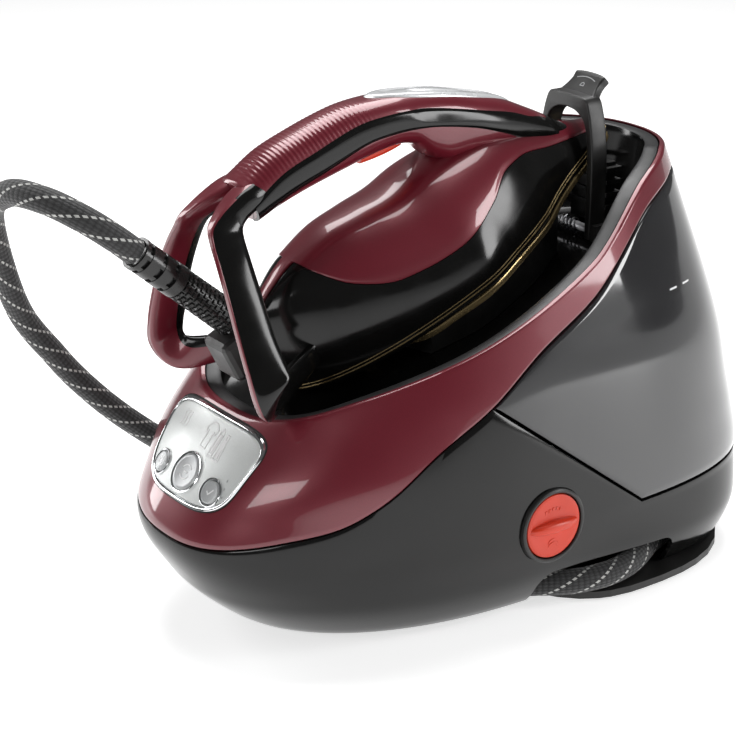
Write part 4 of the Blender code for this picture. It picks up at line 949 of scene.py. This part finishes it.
# ------------------------------------------------------------------ deck, lever and knob
def make_deck():
    rims = [seam_height(a, rim_line) for a in ANGLES]
    centre = Vector((0, 0.014, 0))
    profile = (
        (SHELL_WALL + 2 * GAP, -0.0070), (SHELL_WALL + 2 * GAP, -0.0016), (SHELL_WALL + 0.0010, -0.0009),
        (0.0060, -0.0004), (0.0100, -0.0003), (0.0122, -0.0004), (0.0132, -0.0010), (0.0137, -0.0022),
        (0.0140, -0.0060), (0.0146, -0.0120),
    )
    rows = []
    for inset, drop in profile:
        rows.append([body_point(a, z, inset) + Vector((0, 0, drop)) for a, z in zip(ANGLES, rims)])
    edge = [body_point(a, z, 0.026) for a, z in zip(ANGLES, rims)]
    floor = [Vector((p.x, p.y, deck_floor(p.y))) for p in edge]
    last = rows[-1]
    wall = []
    for share, drop in ((0.12, 0.35), (0.28, 0.62), (0.5, 0.83), (0.75, 0.95), (1.0, 1.0)):
        wall.append([
            Vector((p.x + (q.x - p.x) * share, p.y + (q.y - p.y) * share, p.z + (q.z - p.z) * drop))
            for p, q in zip(last, floor)
        ])
    flats = []
    for share in (0.9, 0.7, 0.45, 0.2, 0.02):
        flat = [centre + share * (Vector((p.x, p.y, 0)) - centre) for p in edge]
        flats.append([Vector((p.x, p.y, deck_floor(p.y))) for p in flat])
    bm = bmesh.new()
    all_rows = rows + wall + flats
    loops = grid(bm, all_rows)
    bm.faces.new(loops[-1])
    bm.faces.ensure_lookup_table()
    count = len(ANGLES)
    for i, face in enumerate(bm.faces):
        face.material_index = 0 if i < RIM_ROWS * count else 1
    mesh_piece = finished("deck_skin", bm, [RIM, GLOSS], "generator", ["deck"])
    solid = mesh_piece.modifiers.new("wall", "SOLIDIFY")
    solid.thickness = 0.0022
    solid.offset = -1.0
    carve(mesh_piece, ())


def plate_piece(name, outline, holes, thickness, finish, body, stands_for, matrix, edge):
    """A flat moulding from a filled outline with holes, its edges rounded by the curve's own bevel."""
    curve = bpy.data.curves.new(name, "CURVE")
    curve.dimensions = "2D"
    curve.fill_mode = "BOTH"
    curve.extrude = thickness / 2 - edge
    curve.bevel_depth = edge
    curve.bevel_resolution = 3
    curve.offset = -edge
    for loop in [outline, *holes]:
        spline = curve.splines.new("POLY")
        spline.points.add(len(loop) - 1)
        for point, (x, y) in zip(spline.points, loop):
            point.co = (x, y, 0.0, 1.0)
        spline.use_cyclic_u = True
    temporary = bpy.data.objects.new(name + "_curve", curve)
    scene.collection.objects.link(temporary)
    graph = bpy.context.evaluated_depsgraph_get()
    mesh = bpy.data.meshes.new_from_object(temporary.evaluated_get(graph))
    bpy.data.objects.remove(temporary, do_unlink=True)
    bm = bmesh.new()
    bm.from_mesh(mesh)
    return finished(name, bm, [finish], body, stands_for, 40, matrix)


def make_lever():
    pivot_y, pivot_z = LEVER_PIVOT
    right = smooth_outline((
        (0.0278, -0.0048), (0.0285, 0.012), (0.0288, 0.036), (0.0280, 0.056), (0.0258, 0.072),
        (0.0230, 0.083), (0.0196, 0.0905), (0.0150, 0.0925), (0.0, 0.0930),
    ), 6)
    outline = right + [(-x, y) for x, y in reversed(right)][1:]
    window = smooth_outline((
        (0.0226, -0.0048), (0.0226, 0.030), (0.0224, 0.052), (0.0210, 0.066), (0.0170, 0.0765),
        (0.0090, 0.0820), (0.0, 0.0835),
    ), 6)
    inner = window + [(-x, y) for x, y in reversed(window)][1:]
    upright = Matrix.Translation((0, pivot_y, pivot_z)) @ Matrix.Rotation(math.pi / 2, 4, "X")
    lever = plate_piece("lock_arch", outline + inner[::-1], [], 0.014, SATIN, None, (), upright, 0.0015)

    # the thumb tab: leans back from the arch, waisted, with a rounded upper edge
    tab_right = smooth_outline((
        (0.0205, -0.0020), (0.0178, 0.0050), (0.0152, 0.0110), (0.0142, 0.0160), (0.0148, 0.0200),
        (0.0146, 0.0216), (0.0120, 0.0226), (0.0060, 0.0233), (0.0, 0.0235),
    ), 6)
    tab_frame = Matrix.Translation((0, *TAB_FOOT)) @ Matrix.Rotation(TAB_LEAN, 4, "X")
    tab_outline = tab_right + [(-x, y) for x, y in reversed(tab_right)][1:]
    tab = plate_piece("lock_tab", tab_outline, [], 0.0070, SATIN, None, (), tab_frame, 0.0016)
    carve(lever, [tab], "UNION", 40)
    hole = rod_cutter("hole", 0.0033, (-0.05, pivot_y, pivot_z), (1, 0, 0), 0.1, 24)
    carve(lever, [hole], sharp=40)
    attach(lever, "lock_lever")
    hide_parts("lock_lever")

    def face(u, v, depth):
        return tab_frame @ Vector((u, v, 0.0035 - depth))

    lock = [
        (arc(0, 0.0120, 0.0016, -20, 200, 16), 0.0006), ([(-0.0020, 0.0112), (0.0020, 0.0112)], 0.0007),
        (arc(0, -0.0040, 0.0225, 66, 114, 24), 0.0006),
    ]
    marks("lock_mark", lock, face, BUTTON, "lock_lever")


def smooth_outline(knots, pieces):
    """Points on a smooth curve through knots."""
    ends = [(2 * knots[0][0] - knots[1][0], 2 * knots[0][1] - knots[1][1]),
            (2 * knots[-1][0] - knots[-2][0], 2 * knots[-1][1] - knots[-2][1])]
    k = [ends[0], *knots, ends[1]]
    found = []
    for a, b, c, d in zip(k, k[1:], k[2:], k[3:]):
        for n in range(pieces):
            t = n / pieces
            found.append(tuple(
                0.5 * (2 * b[i] + (c[i] - a[i]) * t + (2 * a[i] - 5 * b[i] + 4 * c[i] - d[i]) * t**2
                       + (3 * b[i] - a[i] - 3 * c[i] + d[i]) * t**3) for i in (0, 1)
            ))
    found.append(knots[-1])
    return found


def make_collector():
    face = half_width(COLLECTOR_Z) + 0.0004
    place = (face, COLLECTOR_Y, COLLECTOR_Z)
    edge = COLLECTOR_RADIUS
    ring = (
        (edge + GAP, 0.0012), (edge + 0.0009, 0.0018), (edge + 0.0020, 0.0018), (edge + 0.0029, 0.0012),
        (edge + 0.0030, 0.0004), (edge + 0.0030, -0.012), (0.0118, -0.012), (0.0118, -0.010),
        (edge + GAP, -0.010),
    )
    turned("collector_bezel", ring, place, (1, 0, 0), [SATIN], "generator", ["collector_ring"])
    cap = (
        (0.0, 0.0006), (edge * 0.5, 0.0007), (edge * 0.80, 0.0010), (edge * 0.90, 0.0012),
        (edge * 0.96, 0.0008), (edge - GAP, -0.0004), (edge - GAP, -0.0085), (0.0, -0.0085),
    )
    disc = turned("collector_disc", cap, place, (1, 0, 0), [ORANGE], "collector_knob", ["collector_cap"])
    rows = []
    count = 40
    for i in range(count + 1):
        t = -1 + 2 * i / count
        y = COLLECTOR_Y + t * 0.0204
        taper = math.sqrt(max(0.0, 1 - abs(t) ** 5))
        half = 0.0044 * (0.72 + 0.28 * (1 - abs(t))) * max(0.12, taper)
        high = 0.0066 * (0.62 + 0.38 * (1 - t * t)) * max(0.15, taper)
        row = []
        for n in range(17):
            across, out = squared(math.pi * n / 16, 3)
            row.append(Vector((face + high * out - 0.0008, y, COLLECTOR_Z + half * across)))
        rows.append(row)
    bm = bmesh.new()
    loops = grid(bm, rows)
    bm.faces.new(loops[0])
    bm.faces.new(loops[-1])
    bar = finished("collector_bar", bm, [ORANGE], "collector_knob")

    def disc_face(u, v, depth):
        return Vector((face + 0.0007 - depth, COLLECTOR_Y + u, COLLECTOR_Z + v))

    upper = [([(x, 0.0125 - abs(x) * 0.25), (x + 0.0016, 0.0125 - abs(x + 0.0016) * 0.25)], 0.0022)
             for x in (-0.0075, -0.0045, -0.0015, 0.0015, 0.0045)]
    lower = [(arc(0, -0.0135, 0.0042, 20, 160, 12), 0.0008), (arc(0, -0.0160, 0.0042, 20, 160, 12), 0.0008)]
    marks("collector_marks", upper + lower, disc_face, ORANGE, "collector_knob", -0.0004)


# ------------------------------------------------------------------ steam hose
def make_hose():
    """The braided hose: one tube from the iron's sleeve, down to the floor and round under the generator."""
    points, length = spline_points(HOSE_ROUTE, 420)
    bm = bmesh.new()
    uv = bm.loops.layers.uv.new("UVMap")
    sides = 32
    radius = HOSE_RADIUS
    tangent = (points[1] - points[0]).normalized()
    side = tangent.orthogonal().normalized()
    loops = []
    turn_length = 2 * math.pi * radius
    for i, p in enumerate(points):
        ahead = points[min(i + 1, len(points) - 1)]
        behind = points[max(i - 1, 0)]
        tangent = (ahead - behind).normalized()
        side = (side - tangent * side.dot(tangent)).normalized()
        up = tangent.cross(side)
        ring = []
        for n in range(sides):
            angle = 2 * math.pi * n / sides
            ring.append(bm.verts.new(p + radius * (side * math.cos(angle) + up * math.sin(angle))))
        loops.append(ring)
    step = length / (len(points) - 1) / turn_length
    for i, (lower, upper) in enumerate(zip(loops, loops[1:])):
        for n in range(sides):
            m = (n + 1) % sides
            face = bm.faces.new((lower[n], lower[m], upper[m], upper[n]))
            corners = ((n, i), (n + 1, i), (n + 1, i + 1), (n, i + 1))
            for loop, (a, b) in zip(face.loops, corners):
                loop[uv].uv = (a / sides, b * step)
    bm.faces.new(loops[0])
    bm.faces.new(loops[-1])
    hose = finished("braided_hose", bm, [BRAID], None)
    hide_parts("steam_hose")
    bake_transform(hose)


# ------------------------------------------------------------------ iron
crest_height = smooth(
    ((0.0, 0.018), (0.020, 0.028), (0.050, 0.048), (0.080, 0.066), (0.110, 0.077), (0.150, 0.081),
     (0.170, 0.080), (0.200, 0.084), (0.226, 0.087), (0.257, 0.083), (0.280, 0.075), (0.300, 0.062))
)
bonnet_line = smooth(
    ((0.0, 0.012), (0.025, 0.023), (0.055, 0.036), (0.090, 0.053), (0.105, 0.055), (0.127, 0.048),
     (0.167, 0.042), (0.209, 0.047), (0.238, 0.061), (0.252, 0.076), (0.260, 0.090))
)
grip_top = smooth(
    ((0.030, 0.032), (0.046, 0.053), (0.055, 0.064), (0.073, 0.0845), (0.086, 0.096), (0.119, 0.121),
     (0.157, 0.141), (0.183, 0.150), (0.214, 0.155), (0.238, 0.157), (0.265, 0.153), (0.296, 0.147))
)
grip_bottom = smooth(
    ((0.030, 0.018), (0.080, 0.048), (0.108, 0.061), (0.126, 0.068), (0.137, 0.081), (0.145, 0.097),
     (0.160, 0.106), (0.202, 0.115), (0.237, 0.121), (0.265, 0.124), (0.296, 0.127))
)
grip_half = smooth(
    ((0.030, 0.009), (0.060, 0.016), (0.100, 0.0205), (0.150, 0.0195), (0.200, 0.0185), (0.250, 0.0185),
     (0.296, 0.0215))
)
sole_shape = smooth(
    ((0.0, 0.30), (0.077, 0.357), (0.209, 0.446), (0.294, 0.549), (0.404, 0.738), (0.54, 0.882),
     (0.689, 1.08), (0.813, 1.216), (1.0, 1.9))
)
skirt_shape = smooth(
    ((0.0, 0.36), (0.060, 0.418), (0.163, 0.492), (0.230, 0.592), (0.317, 0.770), (0.423, 0.884),
     (0.540, 0.985), (0.717, 0.985), (1.0, 1.0))
)
# The black side band: how far its upper edge lies under the handle's top, and how wide it is
band_drop = smooth(
    ((0.044, 0.0030), (0.052, 0.0045), (0.065, 0.0090), (0.107, 0.0113), (0.139, 0.0095), (0.171, 0.0100),
     (0.220, 0.0125), (0.262, 0.0125), (0.282, 0.0115))
)
band_width = smooth(
    ((0.044, 0.0200), (0.065, 0.0250), (0.085, 0.0180), (0.107, 0.0145), (0.139, 0.0142), (0.171, 0.0145),
     (0.220, 0.0165), (0.262, 0.0155), (0.282, 0.0128))
)


def sole_half(s):
    share = min(1.0, max(0.0, s / SOLE_LENGTH))
    return SOLE_HALF_WIDTH * 2 * math.sqrt(share * (1 - share)) * sole_shape(share)


def skirt_half(s):
    share = min(1.0, max(0.0, s / SKIRT_LENGTH))
    return (SOLE_HALF_WIDTH + 0.001) * 2 * math.sqrt(share * (1 - share)) * skirt_shape(share)


def iron_point(turn, share, low, high, inset=0.0):
    """A point of the iron's body in its own frame: turn goes round from the nose, share from low to high."""
    s = SKIRT_LENGTH / 2 * (1 - math.cos(turn))
    crest = crest_height(s)
    h = min(low(s) + share * (high(s) - low(s)), crest)
    rise = max(0.0, (h - BODY_BASE) / (crest - BODY_BASE))
    arch = (1 - rise**2.2) ** (1 / 2.2)
    side = 1 if math.sin(turn) >= 0 else -1
    x = side * max(0.0, skirt_half(s) - inset) * arch
    return Vector((x, -s - inset * math.cos(turn), h - inset * rise**2))


def iron_piece(name, rows, finishes, stands_for, sharp=32, closed=True, capped=False, body="iron"):
    bm = bmesh.new()
    loops = grid(bm, rows, closed)
    if capped:
        bm.faces.new(loops[0])
        bm.faces.new(loops[-1])
    return finished(name, bm, finishes, body, stands_for, sharp, IRON_FRAME)


def make_sole():
    count = 160
    loops = [2 * math.pi * i / count for i in range(count)]

    def ring(inset, h):
        row = []
        for turn in loops:
            s = SOLE_LENGTH / 2 * (1 - math.cos(turn))
            half = max(0.0, sole_half(s) - inset)
            row.append(Vector((half if math.sin(turn) >= 0 else -half, -s - inset * math.cos(turn), h)))
        return row

    section = (
        (0.030, 0.0), (0.012, 0.0), (0.0022, 0.0), (0.0010, 0.0004), (0.0002, 0.0012),
        (0.0, 0.0022), (0.0, 0.0048), (0.0004, 0.0054), (0.0012, 0.0055), (0.030, 0.0055),
    )
    rows = [ring(inset, height) for inset, height in section]
    sole = iron_piece("gold_sole", rows, [GOLD], ["soleplate"], capped=True)


def make_iron_body():
    count = 192
    loops = [2 * math.pi * i / count for i in range(count)]

    def base(_):
        return BODY_BASE

    def seam(s):
        return min(bonnet_line(s), crest_height(s) - 0.0004)

    shares = [i / 22 for i in range(23)]
    rows = [[iron_point(t, 0.0, base, seam, inset) for t in loops] for inset in (WALL, 0.0009)]
    rows += [[iron_point(t, 0.02, base, seam, 0.0003) for t in loops]]
    rows += [[iron_point(t, v, base, seam, 0.0) for t in loops] for v in shares[1:-1]]
    rows += [[iron_point(t, 0.992, base, seam, 0.0001) for t in loops]]
    rows += [[iron_point(t, 1.0, base, seam, inset) for t in loops] for inset in (0.0006, WALL)]
    rows += [[iron_point(t, v, base, seam, WALL) for t in loops] for v in (0.75, 0.5, 0.25)]
    skirt = iron_piece("iron_skirt", rows + [rows[0]], [GLOSS], ["skirt"])

    rows = [[iron_point(t, 0.0, seam, crest_height, WALL) for t in loops],
            [iron_point(t, 0.0, seam, crest_height, 0.0004) for t in loops]]
    rows += [[iron_point(t, 0.012, seam, crest_height, -0.0002) for t in loops]]
    heights = (0.03, 0.06, 0.1, 0.15, 0.2, 0.26, 0.32, 0.38, 0.45, 0.52, 0.6, 0.68, 0.76, 0.84, 0.90, 0.95,
               0.98, 1.0)
    for v in heights:
        swell = SWELL * min(1, 6 * v) * (1 - v)
        rows.append([iron_point(t, v, seam, crest_height, -swell) for t in loops])
    bonnet = iron_piece("iron_bonnet", rows, [BURGUNDY], ["bonnet"])

    # two thin gold lines above the sole
    for name, low, high in (("gold_line_lower", 0.0096, 0.0106), ("gold_line_upper", 0.0122, 0.0129)):
        rows = []
        for out, h in ((-0.0002, low), (-0.0004, low + 0.0002), (-0.0004, high - 0.0002), (-0.0002, high),
                       (0.0006, high), (0.0006, low)):
            rows.append([iron_point(t, 1.0, base, lambda s, h=h: h, out) for t in loops])
        trim = iron_piece(name, rows + [rows[0]], [GOLD], ())


def grip_section(s, v, grow=0.0):
    """A point round the handle's section: v from 0 to 1, starting at +X."""
    top = grip_top(s) + grow
    bottom = grip_bottom(s) - grow
    across, up = squared(2 * math.pi * v, GRIP_POWER)
    return Vector(((grip_half(s) + grow) * across, -s, (top + bottom) / 2 + (top - bottom) / 2 * up))


def make_handle():
    stations = [0.032 + 0.001 * i for i in range(0, 130)]
    s = 0.162
    while s < HANDLE_END - 0.0015:
        stations.append(s)
        s += 0.00055
    stations += [HANDLE_END - 0.0008, HANDLE_END - 0.0002, HANDLE_END]
    rows = []
    sides = 64
    for s in stations:
        row = []
        ribbed = max(0.0, min(1.0, (s - RIBS_S[0]) / 0.02, (RIBS_S[1] - s) / 0.012))
        ridge = (0.5 - 0.5 * math.cos(2 * math.pi * s / 0.0031)) * 0.00022 * ribbed
        end = max(0.0, s - HANDLE_END + 0.0025) / 0.0025
        for n in range(sides):
            v = n / sides
            top_side = max(0.0, min(1.0, (math.sin(2 * math.pi * v) - 0.25) / 0.35))
            p = grip_section(s, v, -ridge * top_side - 0.0012 * end * end)
            row.append(p)
        rows.append(row)
    handle = iron_piece("handle_loop", rows, [BURGUNDY, GLOSS], ["handle"], 40, capped=True)
    into_iron = IRON_FRAME.inverted()
    for face in handle.data.polygons:
        middle = into_iron @ face.center
        s = -middle.y
        nose = s < min(0.062, 0.045 + 0.9 * (grip_top(s) - middle.z))
        heel = s > HANDLE_END - 0.0045 and middle.z < (grip_top(s) + 2 * grip_bottom(s)) / 3
        face.material_index = 1 if nose or heel else 0
    pocket_bm = bmesh.new()
    bmesh.ops.create_cube(pocket_bm, size=1.0, matrix=Matrix.Diagonal((0.0126, 0.036, 0.024, 1.0)))
    pocket = finished("pocket", pocket_bm, [SATIN], None, (), matrix=IRON_FRAME @ trigger_matrix(TRIGGER_S)
                      @ Matrix.Translation((0, 0, -0.003)))
    carve(handle, [pocket], sharp=40)

    for side, sign in (("left", -1), ("right", 1)):
        rows = []
        count = 110
        for i in range(count + 1):
            s = 0.044 + (HANDLE_END - 0.044) * i / count
            top, bottom = grip_top(s), grip_bottom(s)
            row = []
            for n in range(13):
                u = n / 12
                h = top - band_drop(s) - band_width(s) * u
                w = (h - (top + bottom) / 2) / ((top - bottom) / 2)
                x = grip_half(s) * max(0.0, 1 - abs(w) ** GRIP_POWER) ** (1 / GRIP_POWER)
                lift = 0.0008 * min(1.0, 5 * u, 5 * (1 - u)) ** 0.5
                row.append(Vector((sign * (x + 0.0002 + lift), -s, h)))
            inner = [Vector((p.x - sign * 0.0022, p.y, p.z)) for p in (row[-1], row[0])]
            rows.append(row + inner)
        band = iron_piece(f"side_band_{side}", rows, [GLOSS], [f"handle_band_{side}"], 40, capped=True)

    # the insert: a raised rim, then a dished floor round a raised middle
    rows = []
    count = 96
    middle = (INSERT_S[0] + INSERT_S[1]) / 2
    reach = (INSERT_S[1] - INSERT_S[0]) / 2
    profile = smooth((
        (0.0, 0.0013), (0.30, 0.0012), (0.42, 0.0004), (0.66, 0.0004), (0.80, 0.0018), (0.92, 0.0017),
        (1.0, 0.0004),
    ))
    for i in range(count + 1):
        t = -1 + 2 * i / count
        s = middle + reach * t
        half = INSERT_HALF_WIDTH * math.sqrt(max(0.0009, 1 - t * t))
        row = []
        for n in range(49):
            x = half * (-1 + n / 24)
            w = max(0.0, 1 - (abs(x) / grip_half(s)) ** GRIP_POWER) ** (1 / GRIP_POWER)
            top, bottom = grip_top(s), grip_bottom(s)
            h = (top + bottom) / 2 + (top - bottom) / 2 * w
            rim = min(1.0, math.hypot(t, x / INSERT_HALF_WIDTH))
            row.append(Vector((x, -s, h + profile(rim))))
        row += [Vector((half, -s, row[-1].z - 0.0012)), Vector((-half, -s, row[0].z - 0.0012))]
        rows.append(row)
    insert = iron_piece("silver_insert", rows, [BRIGHT], ["grip_insert"], 60, capped=True)


def trigger_matrix(s):
    step = 0.01
    slope = (grip_bottom(s + step) - grip_bottom(s - step)) / (2 * step)
    return Matrix.Translation((0, -s, grip_bottom(s))) @ Matrix.Rotation(-math.atan(slope), 4, "X")


def make_trigger():
    """The trigger as a curved finger plate, thicker and hooked at its rear end."""
    rows = []
    for i in range(25):
        t = i / 24
        y = 0.016 - 0.032 * t
        low = -0.0036 - 0.0012 * math.sin(math.pi * t) - 0.0012 * t**3
        high = 0.0036
        half = 0.0057 - 0.0006 * (2 * t - 1) ** 4
        row = []
        for n in range(24):
            across, up = squared(2 * math.pi * n / 24, 4)
            row.append(Vector((half * across, y, (high + low) / 2 + (high - low) / 2 * up)))
        rows.append(row)
    bm = bmesh.new()
    loops = grid(bm, rows)
    bm.faces.new(loops[0])
    bm.faces.new(loops[-1])
    place = IRON_FRAME @ trigger_matrix(TRIGGER_S)
    plate = finished("trigger_plate", bm, [ORANGE], "trigger", ["trigger"], 40, place)


def curve3(knots, pieces):
    """Smooth rows of numbers through rows of knots."""
    before = [2 * a - b for a, b in zip(knots[0], knots[1])]
    after = [2 * a - b for a, b in zip(knots[-1], knots[-2])]
    k = [before, *knots, after]
    found = []
    for a, b, c, d in zip(k, k[1:], k[2:], k[3:]):
        for n in range(pieces):
            t = n / pieces
            found.append([
                0.5 * (2 * q + (r - p) * t + (2 * p - 5 * q + 4 * r - w) * t**2
                       + (3 * q - p - 3 * r + w) * t**3)
                for p, q, r, w in zip(a, b, c, d)
            ])
    found.append(list(knots[-1]))
    return found


# Stations of a heel leg: centre x, y, z; half thickness; half width as y and z, towards its outer curve
LEG = (
    (0.0095, -0.1500, 0.2958, 0.0090, -0.0070, 0.0056),
    (0.0101, -0.1570, 0.2926, 0.0097, -0.0074, 0.0052),
    (0.0114, -0.1645, 0.2882, 0.0090, -0.0084, 0.0044),
    (0.0140, -0.1722, 0.2832, 0.0070, -0.0098, 0.0026),
    (0.0172, -0.1782, 0.2775, 0.0056, -0.0112, 0.0008),
    (0.0222, -0.1802, 0.2705, 0.0050, -0.0110, -0.0006),
    (0.0298, -0.1808, 0.2596, 0.0048, -0.0112, -0.0002),
    (0.0412, -0.1808, 0.2400, 0.0046, -0.0118, 0.0002),
    (0.0512, -0.1800, 0.2190, 0.0046, -0.0124, 0.0000),
    (0.0600, -0.1782, 0.1995, 0.0046, -0.0130, -0.0018),
    (0.0642, -0.1766, 0.1865, 0.0054, -0.0120, -0.0066),
    (0.0602, -0.1742, 0.1768, 0.0062, -0.0064, -0.0106),
    (0.0530, -0.1685, 0.1735, 0.0058, -0.0018, -0.0107),
    (0.0440, -0.1560, 0.1755, 0.0048, 0.0008, -0.0094),
    (0.0360, -0.1420, 0.1790, 0.0040, 0.0015, -0.0086),
    (0.0290, -0.1265, 0.1838, 0.0036, 0.0020, -0.0078),
    (0.0256, -0.1190, 0.1862, 0.0034, 0.0022, -0.0074),
)


def make_legs():
    """The heel's two straps: a black outer face that wraps the inner curve, and burgundy on the rest."""
    sides = 40
    turns = [2 * math.pi * (n + 0.5) / sides for n in range(sides)]
    for side, sign in (("left", -1), ("right", 1)):
        rows = []
        sections = []
        for i, (x, y, z, across, dy, dz) in enumerate(curve3(LEG, 10)):
            centre = Vector((sign * x, y, z))
            a = Vector((sign * across, 0, 0))
            d = Vector((0, dy, dz))
            flatness = min(1.0, i / 40)  # from the grip's round section to a flat strap
            section = [squared(turn, 2.6 + 3.4 * flatness) for turn in turns]
            rows.append([centre + a * u * (1 - 0.22 * flatness * v * v) + d * v for u, v in section])
            sections.append(section)
        bm = bmesh.new()
        loops = grid(bm, rows)
        bm.faces.new(loops[0])
        bm.faces.new(loops[-1])
        for i, face in enumerate(bm.faces):
            if i >= (len(rows) - 1) * sides:
                continue
            u, v = sections[i // sides][i % sides]
            outside = u > 0.30 and v < 0.90
            inner_curve = v < -0.30
            face.material_index = 1 if outside or inner_curve else 0
        leg = finished(f"leg_{side}", bm, [BURGUNDY, GLOSS], "iron", [f"heel_leg_{side}"], 45)


def make_sleeve():
    """The hose's guard: a fine grid of blocks, then windowed rings, then a collar."""
    mouth = Vector(HOSE_ROUTE[0])
    towards = (Vector(HOSE_ROUTE[1]) - mouth).normalized()
    place = mouth - towards * 0.0012
    length = 0.086
    around = 96
    count = 258
    rows = []
    for i in range(count + 1):
        t = i / count
        z = -t * length
        core = 0.0094 + 0.0010 * t
        row = []
        for n in range(around):
            v = n / around
            if t < 0.035:
                radius = core + 0.0014
            elif t < 0.42:
                cell = (t - 0.035) / 0.385 * 3
                ring = (cell % 1) > 0.30
                bar = (v * 6) % 1 < 0.42
                radius = core + (0.0011 if ring else (0.0006 if bar else -0.0012))
            else:
                cell = (t - 0.42) / 0.58 * 13
                shifted = (v * 16 + 0.5 * (int(cell) % 2)) % 1
                radius = core + (0.0007 if (cell % 1) > 0.34 and shifted > 0.24 else -0.0006)
            row.append((radius * math.cos(2 * math.pi * v), radius * math.sin(2 * math.pi * v), z))
        rows.append([Vector(p) for p in row])
    bore = []
    for n in range(around):
        turn = 2 * math.pi * n / around
        bore.append(Vector((BORE_RADIUS * math.cos(turn), BORE_RADIUS * math.sin(turn), 0.0)))
    sunk = [p + Vector((0, 0, -0.004)) for p in bore]
    bm = bmesh.new()
    loops = grid(bm, [sunk, bore, *rows])
    bm.faces.new(loops[0])
    bm.faces.new(loops[-1])
    sleeve = finished("hose_guard", bm, [GUARD], "iron", ["hose_sleeve"], 30,
                      Matrix.Translation(place) @ along(towards))


make_hose()
make_housing()
make_front_shell()
make_tank()
make_panel()
make_deck()
make_lever()
make_collector()
make_sole()
make_iron_body()
make_handle()
make_trigger()
make_legs()
make_sleeve()


# ------------------------------------------------------------------ camera, floor and light
def look_at(obj, target):
    obj.rotation_euler = (Vector(target) - obj.location).to_track_quat("-Z", "Y").to_euler()


def area_light(name, place, target, size, power, colour=(1.0, 1.0, 1.0)):
    light = bpy.data.lights.new(name, "AREA")
    light.shape = "RECTANGLE"
    light.size, light.size_y = size
    light.energy = power
    light.color = colour
    made = bpy.data.objects.new(name, light)
    scene.collection.objects.link(made)
    made.location = place
    look_at(made, target)
    return made


def make_stage():
    azimuth, elevation, distance = math.radians(55), math.radians(21), 1.36
    target = Vector((0, -0.0605, 0.155))
    away = Vector((
        math.sin(azimuth) * math.cos(elevation), -math.cos(azimuth) * math.cos(elevation),
        math.sin(elevation),
    ))
    camera = bpy.data.cameras.new("camera")
    camera.lens = 100
    camera.sensor_width = 36
    made = bpy.data.objects.new("camera", camera)
    scene.collection.objects.link(made)
    made.location = target + distance * away
    look_at(made, target)
    scene.camera = made

    bm = bmesh.new()
    bmesh.ops.create_grid(bm, x_segments=8, y_segments=8, size=6.0)
    mesh = bpy.data.meshes.new("floor")
    bm.to_mesh(mesh)
    bm.free()
    floor_finish = Finish("floor_white", (0.80, 0.80, 0.80), 0.60, 0.0, Emission_Color=(1.0, 1.0, 1.0, 1.0),
                          Emission_Strength=0.66)
    floor_finish.tone(floor_finish.noise(3, 2.0), 0.99, 1.01)
    mesh.materials.append(floor_finish.material)
    floor = bpy.data.objects.new("floor", mesh)
    scene.collection.objects.link(floor)

    world = bpy.data.worlds.new("studio")
    world.use_nodes = True
    world.node_tree.nodes["Background"].inputs["Color"].default_value = (1.0, 1.0, 1.0, 1.0)
    world.node_tree.nodes["Background"].inputs["Strength"].default_value = 0.10
    scene.world = world
    scene.view_settings.view_transform = "Standard"
    area_light("top_softbox", (-0.5, 0.3, 1.7), (0, 0, 0.15), (1.3, 1.3), 34)
    area_light("left_strip", (-1.5, -0.9, 0.75), (0, -0.05, 0.18), (0.35, 1.3), 11)
    area_light("front_strip", (0.5, -1.9, 0.95), (0, -0.05, 0.18), (1.1, 0.5), 9)
    area_light("right_strip", (1.35, 1.25, 0.75), (0, 0.05, 0.18), (0.45, 1.2), 17)


make_stage()
